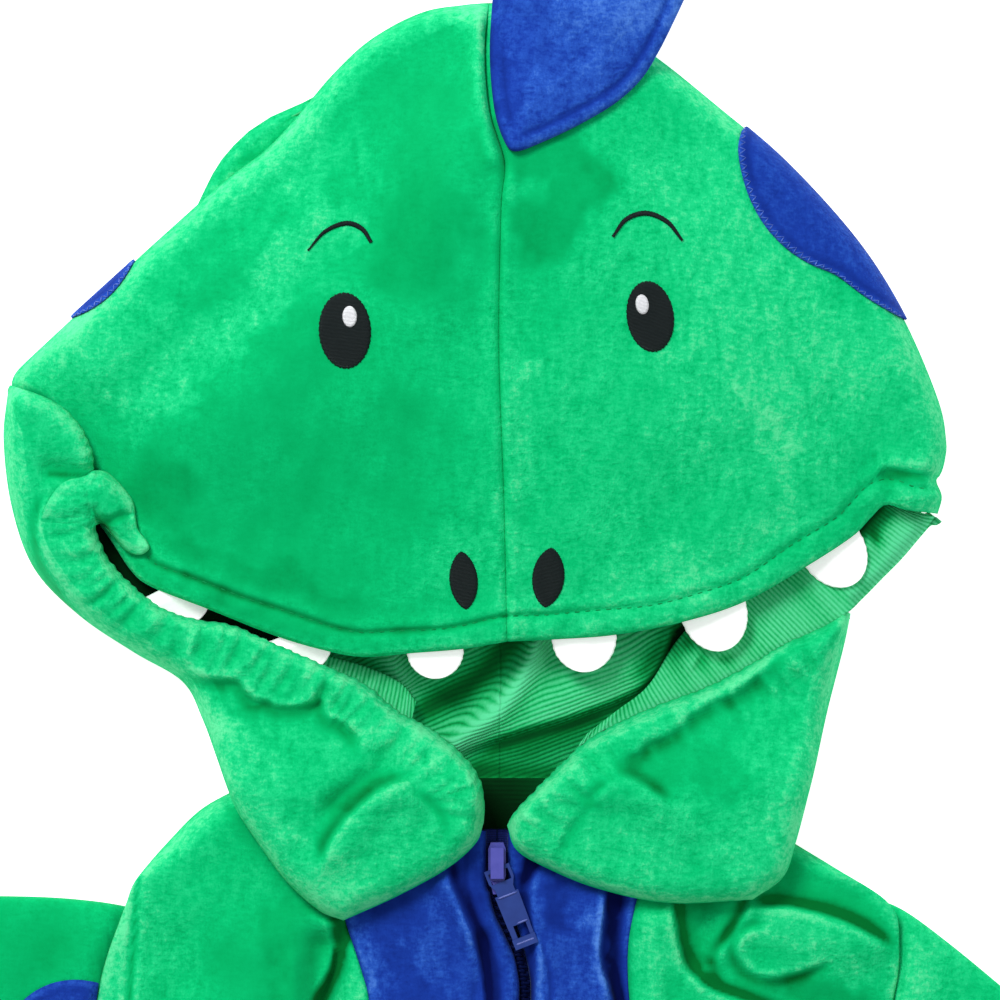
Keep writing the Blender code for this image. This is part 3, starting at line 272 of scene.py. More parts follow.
def clothPiece(name, grid, materials, floor=0.0, thick=cloth, seams=(), tone=0.0, ribs=None, ring=False,
               crease=0.5, turned=None):
    # a cloth wall under a grid of points: the right side's material, then the wrong side's
    normal, wide = normals(grid, ring)
    for column, rows in seams:
        flat = wide[rows, column] * (1, 1, 0)
        flat = flat / np.linalg.norm(flat, axis=-1, keepdims=True)
        kept = normal[rows, column]
        kept = kept - (kept * flat).sum(-1, keepdims=True) * flat
        normal[rows, column] = kept / np.linalg.norm(kept, axis=-1, keepdims=True)
    inner = grid - thick * blurNormals(normal, ring)
    if not ring:
        inner[..., 2] = np.maximum(inner[..., 2], floor)
        inner[..., 2] = np.minimum(inner[..., 2], grid[..., 2] - 0.2)
    rows, cols = grid.shape[:2]
    shift = rows * cols
    r, c = np.meshgrid(np.arange(rows - 1), np.arange(cols if ring else cols - 1), indexing="ij")
    d = (c + 1) % cols
    a, b, e, f = r * cols + c, r * cols + d, (r + 1) * cols + d, (r + 1) * cols + c
    top = np.stack([a, b, e, f], -1).reshape(-1, 4)
    last = (rows - 1) * cols
    ends = [(k, (k + 1) % cols) for k in range(cols if ring else cols - 1)]
    border = [(q, p) for p, q in ends] + [(p + last, q + last) for p, q in ends]
    if not ring:
        border += [((k + 1) * cols, k * cols) for k in range(rows - 1)]
        border += [((k + 1) * cols - 1, (k + 2) * cols - 1) for k in range(rows - 1)]
    rim = [(p, p + shift, q + shift, q) for p, q in border]
    corners = np.vstack([grid.reshape(-1, 3), inner.reshape(-1, 3)])
    faces = np.vstack([top, top[:, ::-1] + shift, np.array(rim)])
    upward = np.cross(corners[faces[0, 1]] - corners[faces[0, 0]],
                      corners[faces[0, 3]] - corners[faces[0, 0]])
    if (upward * normal.reshape(-1, 3)[faces[0, 0]]).sum() < 0:
        faces = faces[:, ::-1]
    which = np.concatenate([np.zeros(len(top)), np.ones(len(top)), np.zeros(len(rim))]).astype(np.int32)
    if turned is not None:  # where the cloth's other side shows
        which[np.tile(turned.ravel(), 2)[faces].all(1)] = 1
    height = grid[..., 2]
    bulge = blurred(height, 1, ring) - blurred(height, 14, ring)  # ridges catch the light, troughs lose it
    shade = np.clip(tone + crease * bulge, -2.3, 1.6) * np.ones(grid.shape[:2])
    marks = {"tone": np.concatenate([shade.ravel(), shade.ravel()])}
    run = ribs if ribs is not None else grid[..., 0] * 0.5 + grid[..., 1] * 0.86
    marks["ribs"] = np.concatenate([run.ravel(), run.ravel()])
    meshPiece(name, corners, faces.tolist(), materials, which, marks)
    garments[name] = (grid, normal)


def blurNormals(normal, ring):
    soft = np.stack([blurred(normal[..., k], 2, ring) for k in range(3)], -1)
    soft[[0, -1]] = normal[[0, -1]]
    if not ring:
        soft[:, [0, -1]] = normal[:, [0, -1]]
    return soft / np.linalg.norm(soft, axis=-1, keepdims=True)


def treeOf(*names):
    trees = []
    for name in names:
        mesh = pieces[name].data
        co = np.empty(len(mesh.vertices) * 3)
        mesh.vertices.foreach_get("co", co)
        trees.append(BVHTree.FromPolygons((co.reshape(-1, 3) / mm).tolist(),
                                          [tuple(face.vertices) for face in mesh.polygons]))
    return trees


def topAt(trees, x, y, spare=-50.0):
    hits = [tree.ray_cast(Vector((x, y, 90)), Vector((0, 0, -1)))[0] for tree in trees]
    return max([hit.z for hit in hits if hit] + [spare])


def topsAt(trees, xy, spare=0.0):
    flat = xy.reshape(-1, 2)
    return np.array([topAt(trees, x, y, spare) for x, y in flat]).reshape(xy.shape[:-1])


def underAt(trees, x, y, spare=60.0):
    hits = [tree.ray_cast(Vector((x, y, 3)), Vector((0, 0, 1)))[0] for tree in trees]
    return min([hit.z for hit in hits if hit] + [spare])


def threads(name, runs, radius, material, sides=5, flatten=0.7, body="costume"):
    # short or long threads, each a tube with rounded ends along its points
    corners, faces = [], []
    for run in runs:
        run = np.asarray(run, float)
        step = np.gradient(run, axis=0)
        step /= np.maximum(np.linalg.norm(step, axis=1, keepdims=True), 1e-9)
        side = np.cross(step, (0, 0, 1))
        side /= np.maximum(np.linalg.norm(side, axis=1, keepdims=True), 1e-9)
        up = np.cross(side, step)
        size = radius * np.clip(np.sin(np.linspace(0.12, math.pi - 0.12, len(run))) * 2.2, 0.25, 1)
        start = len(corners)
        for k in range(len(run)):
            for j in range(sides):
                angle = math.tau * j / sides
                spoke = side[k] * math.cos(angle) + up[k] * flatten * math.sin(angle)
                corners.append(run[k] + size[k] * spoke)
        faces += ringFaces(len(run), sides, start)
        faces.append(tuple(start + j for j in range(sides))[::-1])
        faces.append(tuple(start + (len(run) - 1) * sides + j for j in range(sides)))
    meshPiece(name, np.array(corners), faces, [material], body=body)


# Shader helpers

class Wire:
    # a socket whose sums, products and so on become Math nodes
    def __init__(self, tree, socket):
        self.tree, self.socket = tree, socket

    def maths(self, operation, first, second=None):
        node = self.tree.nodes.new("ShaderNodeMath")
        node.operation = operation
        for socket, value in zip(node.inputs, (first, second)):
            if isinstance(value, Wire):
                self.tree.links.new(value.socket, socket)
            elif value is not None:
                socket.default_value = value
        return Wire(self.tree, node.outputs[0])

    def __add__(self, other):
        return self.maths("ADD", self, other)

    def __sub__(self, other):
        return self.maths("SUBTRACT", self, other)

    def __rsub__(self, other):
        return self.maths("SUBTRACT", other, self)

    def __mul__(self, other):
        return self.maths("MULTIPLY", self, other)

    def __pow__(self, other):
        return self.maths("POWER", self, other)

    __radd__ = __add__
    __rmul__ = __mul__


class Finish:
    # a material with a Principled shader and short ways to wire it
    def __init__(self, name, **constants):
        self.material = bpy.data.materials.new(name)
        self.material.use_nodes = True
        self.tree = self.material.node_tree
        self.shader = self.tree.nodes["Principled BSDF"]
        for key, value in constants.items():
            self.shader.inputs[key.replace("_", " ")].default_value = value

    def node(self, kind, settings=None, sockets=None, out=0):
        made = self.tree.nodes.new(kind)
        for key, value in (settings or {}).items():
            if key == "stops":
                ramp = made.color_ramp
                while len(ramp.elements) < len(value):
                    ramp.elements.new(0.5)
                for element, (place, colour) in zip(ramp.elements, value):
                    element.position, element.color = place, (*colour, 1)
            else:
                setattr(made, key, value)
        for key, value in (sockets or {}).items():
            self.feed(made.inputs[key], value)
        return Wire(self.tree, made.outputs[out])

    def feed(self, socket, value):
        if isinstance(value, Wire):
            self.tree.links.new(value.socket, socket)
        else:
            socket.default_value = value

    def place(self):
        return self.node("ShaderNodeTexCoord", out="Object")

    def mark(self, name):
        return self.node("ShaderNodeAttribute", {"attribute_name": name}, out="Fac")

    def noise(self, scale, detail=2.0, rough=0.55, stretch=None, twist=0.0):
        place = self.place()
        if stretch:
            place = self.node("ShaderNodeMapping", None, {"Vector": place, "Scale": stretch,
                                                          "Rotation": (0, 0, twist)})
        return self.node("ShaderNodeTexNoise", None, {"Vector": place, "Scale": scale, "Detail": detail,
                                                      "Roughness": rough})

    def wave(self, phase):
        # 0 to 1 as the phase, in turns, goes round
        return phase.maths("SINE", phase * math.tau) * 0.5 + 0.5

    def ramp(self, value, stops):
        return self.node("ShaderNodeValToRGB", {"stops": stops}, {"Fac": value}, out="Color")

    def mix(self, share, first, second):
        return self.node("ShaderNodeMix", {"data_type": "RGBA"}, {0: share, 6: first, 7: second}, out=2)

    def bump(self, height, strength, distance):
        normal = self.node("ShaderNodeBump", None, {"Height": height, "Strength": strength,
                                                    "Distance": distance})
        self.feed(self.shader.inputs["Normal"], normal)

    def paint(self, colour, rough=None):
        self.feed(self.shader.inputs["Base Color"], colour)
        if rough is not None:
            self.feed(self.shader.inputs["Roughness"], rough)


def plush(name, look):
    # short pile: soft nap patches, a fleecy speckle and a light edge where the pile stands up
    f = Finish(name, Roughness=0.9, Sheen_Weight=look["sheen"], Sheen_Roughness=0.4,
               Sheen_Tint=(*look["tint"], 1), Specular_IOR_Level=0.04)
    # tone: the nap's patches, with painted shade in creases, seams and hollows and painted highlights on
    # ridges and edges, from each panel
    tone = f.mark("tone")
    drift = f.noise(40, 3.0, 0.55) - 0.5
    tufts = f.noise(360, 3.0, 0.6, (1, 0.4, 1), 0.5) - 0.5
    curls = f.noise(760, 2.0, 0.6, (0.5, 1, 1), 0.3) - 0.5
    pile = f.noise(1700, 2.0, 0.6, (1, 0.55, 1), -0.35) - 0.5
    lively = f.node("ShaderNodeMapRange", None, {"Value": tone + drift * 1.6, 1: -0.6, 2: 0.45, 3: 0.16,
                                                 4: 1.0})
    fleece = (tufts * 0.6 + curls * 0.65 + pile * 0.4) * lively * look["fleece"]
    shade = tone * 0.28 + 0.5 + drift * 0.22 + fleece
    f.paint(f.ramp(shade, look["stops"]))
    f.bump((tufts * 0.5 + curls * 0.6 + pile * 0.5) * lively, 0.7, 0.0008)
    return f.material


def ribbed(name, look):
    # the knit's wrong side: fine ribs of small loops, with painted shade in the grooves between the ribs
    f = Finish(name, Roughness=0.85, Sheen_Weight=0.05, Sheen_Roughness=0.5, Sheen_Tint=(*look["light"], 1),
               Specular_IOR_Level=0.06)
    run = f.mark("ribs") * (1 / look["pitch"])
    wobble = f.noise(120, 2.0, 0.5) - 0.5
    rib = f.wave(run + wobble * 0.5) ** 0.6
    loops = f.noise(1100, 2.0, 0.6, (1, 0.6, 1)) - 0.5
    tone = f.mark("tone")
    lit = f.node("ShaderNodeMapRange", None, {"Value": tone, 1: -1.5, 2: 0.2, 3: 0.05, 4: 1.0})
    # how strongly the painted shade in the rib grooves shows varies from place to place
    ribContrast = f.noise(70, 2.0, 0.5)  # the ribs show more in some places than in others
    shade = (rib - 0.6) * (ribContrast * 0.55 + 0.1) * lit + loops * 0.3 * lit + tone * 0.3 + 0.57
    stops = [(0.0, look["shadow"]), (0.3, look["deep"]), (0.58, look["middle"]), (1.0, look["light"])]
    f.paint(f.ramp(shade, stops))
    f.bump((rib + loops * 0.5) * lit, 0.5, 0.0005)
    return f.material


def stitchedThread(name, look):
    # satin stitches: fine parallel threads with a soft gloss, with painted shade between the threads and a
    # painted highlight on each one's top
    f = Finish(name, Specular_IOR_Level=look["gloss"])
    run = f.mark("ribs") * (1 / look["pitch"])
    thread = f.wave(run + (f.noise(300, 2.0) - 0.5) * 0.9)
    fluff = f.noise(1800, 2.0, 0.6)
    f.paint(f.mix(thread * 0.7 + fluff * 0.3, (*look["deep"], 1), (*look["light"], 1)),
            thread * -0.15 + look["rough"])
    f.bump(thread + fluff * 0.4, 0.7, 0.0003)
    return f.material


print("materials")
# each look's stops run from painted shade, through the cloth's own colour, to painted highlight; the tone
# mark picks a colour along them
greenLook = {
    "stops": [(0.0, (0.0, 0.13, 0.022)), (0.28, (0.0, 0.33, 0.094)), (0.5, (0.0012, 0.455, 0.146)),
              (0.7, (0.012, 0.55, 0.2)), (1.0, (0.1, 0.68, 0.3))],
    "tint": (0.3, 1.0, 0.55), "sheen": 0.1, "fleece": 1.0,
}
blueLook = {
    "stops": [(0.0, (0.0008, 0.003, 0.05)), (0.28, (0.004, 0.018, 0.18)), (0.5, (0.008, 0.038, 0.3)),
              (0.7, (0.018, 0.08, 0.43)), (1.0, (0.07, 0.2, 0.62))],
    "tint": (0.35, 0.55, 1.0), "sheen": 0.08, "fleece": 0.75,
}
ribbedLook = {"pitch": 1.42, "shadow": (0.0, 0.018, 0.003), "deep": (0.0, 0.17, 0.03),
              "middle": (0.008, 0.4, 0.115), "light": (0.09, 0.62, 0.29)}
ribbedBlueLook = {"pitch": 1.42, "shadow": (0.001, 0.002, 0.03), "deep": (0.002, 0.01, 0.13),
                  "middle": (0.01, 0.04, 0.3), "light": (0.04, 0.12, 0.5)}
greenPlush = plush("greenPlush", greenLook)
bluePlush = plush("bluePlush", blueLook)
greenRibbed = ribbed("greenRibbed", ribbedLook)
blueRibbed = ribbed("blueRibbed", ribbedBlueLook)
blackThread = stitchedThread("blackThread", {"pitch": 0.42, "deep": (0.001, 0.003, 0.003),
                                             "light": (0.01, 0.018, 0.019), "gloss": 0.16, "rough": 0.6})
whiteThread = stitchedThread("whiteThread", {"pitch": 0.42, "deep": (0.6, 0.62, 0.66),
                                             "light": (0.92, 0.93, 0.95), "gloss": 0.45, "rough": 0.5})
greenThread = stitchedThread("greenThread", {"pitch": 0.5, "deep": (0.0, 0.16, 0.04),
                                             "light": (0.002, 0.3, 0.09), "gloss": 0.1, "rough": 0.7})
blueThread = stitchedThread("blueThread", {"pitch": 0.5, "deep": (0.01, 0.04, 0.28),
                                           "light": (0.07, 0.16, 0.6), "gloss": 0.35, "rough": 0.5})


def feltFinish():
    # the felt glows a little: a painted brightness that keeps the teeth white in the mouth's shade
    f = Finish("whiteFelt", Roughness=0.95, Sheen_Weight=0.2, Specular_IOR_Level=0.15, Emission_Strength=0.3,
               Emission_Color=(1, 1, 1, 1))
    fluff = f.noise(700, 4.0, 0.7)
    f.paint(f.mix(fluff, (0.8, 0.82, 0.82, 1), (0.95, 0.95, 0.94, 1)))
    f.bump(fluff, 0.3, 0.0004)
    return f.material


whiteFelt = feltFinish()

# The hood's outlines, seen from above
hood = {
    "edge": 13.0, "rise": 15.0, "half": 150.0, "drop": 8.0, "roll": 8.0,
    "left": [(-9, 263), (-24, 260.5), (-39.4, 252.5), (-52, 241), (-63, 228), (-73, 217.5), (-86, 207.5),
             (-102.6, 192.8), (-130, 168), (-146, 153), (-153.3, 142), (-154.6, 127), (-152, 106), (-145, 87),
             (-131, 72.5), (-114, 61), (-99, 52), (-92.7, 40.6), (-87.4, 27.9), (-82, 14), (-76, 4.3),
             (-66, -9.3), (-56, -18.3), (-48.4, -21.4)],
    "right": [(2, 263.2), (18, 261.5), (34, 255.5), (48.7, 246.4), (68, 231), (89, 213), (111, 188.5),
              (125.7, 165), (136.4, 140), (139, 127), (137.6, 115), (134.5, 104), (128, 97), (120.6, 87.4),
              (110.5, 76), (107, 62.6), (101.7, 41.9), (96.4, 21.7), (91.5, 3), (87.5, -8), (78, -15)],
    "endLeft": [(-5, 9), (-7.5, 2.4), (-16.7, -5.6), (-32, -14), (-48.4, -21.4)],
    "endRight": [(2.2, 8), (5, 0.5), (14, -5), (30, -11.5), (52, -16), (78, -15)],
}
hoodLeft, hoodRight = curve(hood["left"]), curve(hood["right"])
endLeft, endRight = curve(hood["endLeft"]), curve(hood["endRight"])
hoodLoop = np.vstack([hoodRight, endRight[::-1], endLeft, hoodLeft[::-1]])

print("upper jaw")
jaw = {
    "seam": [(-3.5, 263.2), (-4.7, 246.4), (-3.1, 227.8), (1.4, 212), (0.4, 198), (-0.3, 155), (1.2, 110),
             (2.2, 64.8)],
    "left": hood["left"][:10] + [(-151.6, 146.4), (-151, 140), (-147, 134)],
    "right": hood["right"][:10] + [(138.5, 121), (137.2, 116.6), (135.8, 114.4), (137.5, 109.5),
                                   (136.2, 104.2)],
    "hemLeft": [(2.2, 64.8), (-11.5, 62.5), (-27, 61.2), (-42.2, 60), (-55, 62.2), (-70, 66.7), (-90, 74.6),
                (-108, 81.6), (-114.4, 86.6), (-120.6, 95.6), (-134, 114), (-147, 134)],
    "hemRight": [(2.2, 64.8), (16.4, 65.4), (35.3, 66.8), (56, 70.7), (75.6, 77), (95, 88), (109, 97),
                 (115, 103), (119.5, 107), (126, 105.4), (136.2, 104.2)],
    "stitch": 7.6,  # the hem's stitching above its edge
    "hemSteps": [11, 10.2, 9.6, 9, 8.5, 8.1, 7.7, 7.3, 6.9, 6.4, 5.8, 5, 4, 3, 2.2, 1.5, 1.0, 0.5, 0],
    # x1, y1, x2, y2 ..., width, height
    "folds": [(-60, 196, -122, 150, 11, 2.2), (-84, 172, -120, 138, 12, -2.0), (-10, 238, -22, 170, 12, 1.6),
              (74, 196, 116, 150, 14, 1.5), (92, 136, 104, 112, 7, 1.6), (60, 110, 96, 134, 12, -1.6),
              (-40, 110, -92, 104, 20, -1.8), (-150, 142, -126, 104, 17, -5.2),
              (124, 111, 133, 110, 4.5, 1.6), (119, 116.5, 121, 110, 1.5, -1.4),
              (127, 112, 129, 107, 1.6, -0.7), (132, 112.5, 134, 107, 1.5, -0.6)],
    "ledges": [(114.5, 117.5, 121, 118.4, 129, 117.6, 137.5, 115.2, 6, 1.9)],
    "finRidge": [(-7, 262, -6.5, 232, -3, 214, 3.6, 2.4)],
    # the pile's lighter and darker patches, as the nap lies
    "nap": [(-52, 196, -72, 172, -104, 144, -120, 132, 7, 0.55), (-62, 216, -84, 196, -128, 162, 12, 0.3),
            (-24, 240, -28, 190, 22, -0.5), (-74, 196, -96, 176, 11, -0.45), (-60, 148, -92, 118, 24, -0.55),
            (-30, 118, -64, 88, 24, -0.55), (-22, 200, -26, 150, 16, -0.4), (-16, 150, -14, 90, 11, 0.15),
            (4, 216, 26, 212, 14, 190, 10, -0.85), (36, 214, 52, 226, 9, -0.4), (4, 180, 12, 160, 9, -0.25),
            (56, 214, 70, 190, 96, 150, 20, 0.5), (60, 150, 88, 112, 16, 0.3), (28, 150, 44, 100, 22, 0.15),
            (74, 140, 84, 126, 96, 112, 4, 0.7), (7, 150, 6, 72, 4, 0.45), (112, 168, 128, 128, 12, 0.2),
            (-134, 166, -146, 148, 8, 0.35), (-120, 128, -98, 92, 10, -0.5), (60, 84, 90, 102, 9, 0.4),
            (10, 74, 60, 82, 6, 0.3), (-30, 70, -100, 92, 6, -0.4)],
}
faceEdge = np.vstack([curve(jaw["left"])[::-1], curve(jaw["right"])])
hemLine = np.vstack([curve(jaw["hemLeft"])[::-1], curve(jaw["hemRight"])[1:]])


def overBack(xy):
    x, y = xy[..., 0], xy[..., 1]
    peep = ease((y - 178) / 10) * ease((256 - y) / 8)
    return np.where(x < 0, np.maximum(peep, ease((158 - y) / 8)), ease((127 - y) / 8))


def jawRows():
    # shares down the centre seam, close together along the hem
    return across(lengthOf(curve(jaw["seam"])), [0, 0.6, 1.2], 132, jaw["hemSteps"])


def stitchHeight(share):
    # the hem's stitching wanders a little
    return jaw["stitch"] + 0.5 * np.sin(share * 23) + 0.25 * np.sin(share * 61)


def jawPanel(name, side, outline, hem, extra):
    seam = curve(jaw["seam"]) + (side * 0.02, 0)
    edge, lip = curve(outline), curve(hem)
    lip = lip + np.outer(np.linspace(1, 0, len(lip)), (side * 0.02, 0))
    rows = jawRows()
    u = np.array([across(np.linalg.norm(pointsAt(edge, v) - pointsAt(seam, v)), [0, 0.4, 0.9, 1.5, 2.2, 3, 4],
                         84, rollSteps(hood["roll"], 9)) for v in rows])
    plan = coons(seam, edge, np.array([seam[0], edge[0]]), lip, u, rows)
    edgeGap = gapTo(plan, faceEdge)
    base = (cloth + seamGap) * overBack(plan)
    dome = (1 - np.clip(plan[..., 0] / hood["half"], -1, 1) ** 2) * ease(edgeGap / 60)
    drop = hood["drop"] * ease((150 - plan[..., 1]) / 90)
    top = hood["edge"] + hood["rise"] * dome - drop * ease(edgeGap / 30) + strokes(plan, jaw["folds"] + extra)
    steps, stepShade = ledges(plan, jaw["ledges"]) if side > 0 else (0, 0)
    top += steps
    seamAway, seamShare, _ = measure(plan, curve(jaw["seam"]))
    hemAway, hemShare, _ = measure(plan, hemLine)
    calm = ease(edgeGap / 10)
    top += calm * (0.35 * waver(plan, 46, 3) + 0.12 * waver(plan, 15, 4))
    top += -0.6 * bell(seamAway, 0.8) + 0.5 * bell(seamAway - 2.6, 1.8)
    top += 0.16 * np.sin(seamShare * 430) * bell(seamAway - 1.5, 1.8)
    stitch = stitchHeight(hemShare)
    pull = (0.75 + 0.25 * np.sin(hemShare * 560)) * (1 - 0.5 * ease((plan[..., 0] + 10) / 60))
    top += -1.15 * bell(hemAway - stitch, 0.75) * pull + 0.55 * bell(hemAway - stitch - 2.6, 1.8)
    ripple = waver(np.dstack([hemShare * 300, hemAway * 0.6]), 9, 8)
    top += 0.55 * bell(hemAway - 4, 2.6) + 0.22 * ripple * bell(hemAway - 3.5, 3)
    top -= 1.9 * (1 - rolled(hemAway, 2.0))
    height = base + (top - base) * rolled(edgeGap, hood["roll"])
    # painted light in the tone: highlights on the hem's rolled edge and the hood's rolled outer edge, painted
    # shade in the stitching's groove and the centre seam, and on the left a highlight on the crest's ridge
    tone = 0.1 + patches(plan, jaw["nap"]) + stepShade + 0.5 * bell(hemAway - 0.6, 1.3)
    tone -= (0.75 - 0.6 * ease((plan[..., 0] + 30) / 70)) * bell(hemAway - stitch, 1.3)
    tone += 0.9 * (1 - ease(edgeGap / 6)) * ease((plan[..., 1] - 96) / 20) - 0.2 * bell(seamAway, 0.8)
    tone -= 0.55 * bell(hemAway - 3.5, 3.5) * ease((-18 - plan[..., 0]) / 20)
    tone += 0.8 * strokes(plan, [(-6, 262, -6, 235, -2, 216, 2.6, 1.0)]) if side < 0 else 0
    grid = np.dstack([plan, height])
    clothPiece(name, grid, [greenPlush, greenRibbed], floor=base, seams=[(0, slice(None))], tone=tone)


jawPanel("face_left", -1, jaw["left"], jaw["hemLeft"], jaw["finRidge"])
jawPanel("face_right", 1, jaw["right"], jaw["hemRight"], [])

print("lower jaw")
cheek = {
    "top": 16.5, "rise": 9.5, "drape": 17.0, "lipRoll": 4.0,
    "pull": {-1: 1.0, 1: 0.8},  # of the border's stitching, on the left and on the right
    "lipLeft": [(-152.3, 144.2), (-143.4, 141.4), (-135.8, 137.6), (-129.4, 131), (-125.6, 121.5),
                (-126.4, 111), (-125.2, 101), (-121, 90.4), (-112, 80.8), (-103.2, 74.6), (-93.3, 71.6),
                (-82.8, 70), (-71.3, 65.1), (-55.8, 58.3), (-42, 52), (-31.6, 43.5), (-21.4, 38),
                (-11.8, 30.4), (-6.2, 23), (-4.7, 15), (-5, 9)],
    "lipRight": [(108, 73.8), (99.8, 69.2), (88, 64), (77, 57.5), (64, 50.8), (50, 45.6), (38, 40.5),
                 (27, 34.4), (18, 26.5), (9.5, 18), (4.2, 12), (2.2, 8)],
    # x, y, height of the casing's edge
    "rimLeft": [(-152, 143, 12.4), (-127, 122, 12.4), (-122, 91, 10.4), (-103, 74.6, 10.9), (-82, 70, 12),
                (-71, 65, 14.9), (-60, 60, 14.9), (-50, 56, 12), (-31.6, 43.5, 11), (-11.8, 30.4, 13.5),
                (-4.7, 15, 17), (-5, 9, 17)],
    "rimRight": [(108.2, 74.5, 9.5), (64, 50.8, 9.5), (27, 34.4, 11.5), (9.5, 18, 16), (4.2, 12, 17),
                 (2.2, 8, 17)],
    "folds": [(-36, 27, -51, 15, 4.2, -2.6), (-34, 19, -56, -5, 6.0, 1.8), (-22, 12, -18, -3, 4.0, -1.2),
              (-124, 116, -139, 118, 3.4, -2.6), (-46, 36, -54, 48, 3.2, -1.8), (26, 32, 32, 27, 4.2, -2.0),
              (33, 22, 57, 10, 7.0, 2.0), (73, 43, 84, 40, 4.0, 0.8),
              (-30, 24, -44, 21, -54, 12, 2.4, -1.0), (30, 29, 23, 34, 30, 36, 2.2, -1.0)],
    # the lower border of the casing, where its stitching gathers the cheek
    "borderLeft": [(-102, 55.5), (-94, 54), (-87.7, 53.3), (-81.5, 52.6), (-78.5, 48.6), (-72.9, 46),
                   (-64.2, 44.3), (-58.6, 45.4), (-55.5, 46.4), (-53.4, 42.2), (-49.9, 39.7), (-46.2, 37.6),
                   (-44, 33.6), (-41.5, 28)],
    "borderRight": [(34, 25), (37.5, 28.5), (42.5, 30.6), (45.5, 34.2), (49, 35), (56, 39), (64, 45.3),
                    (69, 47.2), (75, 50.2), (80, 54.5), (88, 63.4), (98, 68.6), (107, 75)],
    # folds with a steep side; the higher side is on the left of the line's run
    "ledges": [(-139, 112, -142.5, 104, -142.6, 96, -140.6, 88, -135, 80, -127, 71, 12, 1.5),
               (-131, 117.2, -124, 114.8, -119, 116.4, 5, 1.6),
               (-24, 23.5, -31, 22, -38, 18.6, -46, 12, -52, 4, -56, -7, 9, 1.5),
               (-18, 0, -18.6, 9, -24, 16, -31, 20, 6, 0.9),
               (55.5, 13, 47, 19, 41, 22.6, 35.5, 25.5, 33, 26.5, 8, 1.3),
               (35.2, 25, 33.4, 21.6, 30.4, 18.4, 27.6, 15.2, 26.6, 13.2, 4, 1.3),
               (17, -5, 19.5, 5, 24.5, 12, 28.5, 14.5, 6, 0.9)],
    "shade": [(-139, 116.6, -133, 116.2, -127.4, 116.4, 1.3, -1.5), (-127, 121, -125, 117.5, 1.6, -0.5),
              (-143.4, 96, -141, 88, -136, 80.5, 1.5, -0.5), (-34, 24, -50, 14.5, -54, 6, 2.6, -0.2),
              (26.6, 14.6, 30.4, 14.8, 1.4, -0.8), (50, 22, 62, 22, 5, -0.25)],
    "nap": [(-44, 34, -20, 28, 8, 0.35), (-30, 6, -14, 14, 10, 0.25), (-74, 40, -62, 8, 12, -0.2),
            (-88, 46, -70, 16, -52, -16, 5, 0.45), (-50, 18, -40, 26, 6, -0.45), (16, 10, 44, -6, 10, 0.25),
            (44, 26, 70, 26, 8, -0.6), (60, 40, 92, 44, 10, -0.2), (72, -2, 88, 6, 8, 0.35),
            (-48, -6, -42, -14, 6, 0.35), (-86, 50, -74, 44, 4, -0.4)],
}


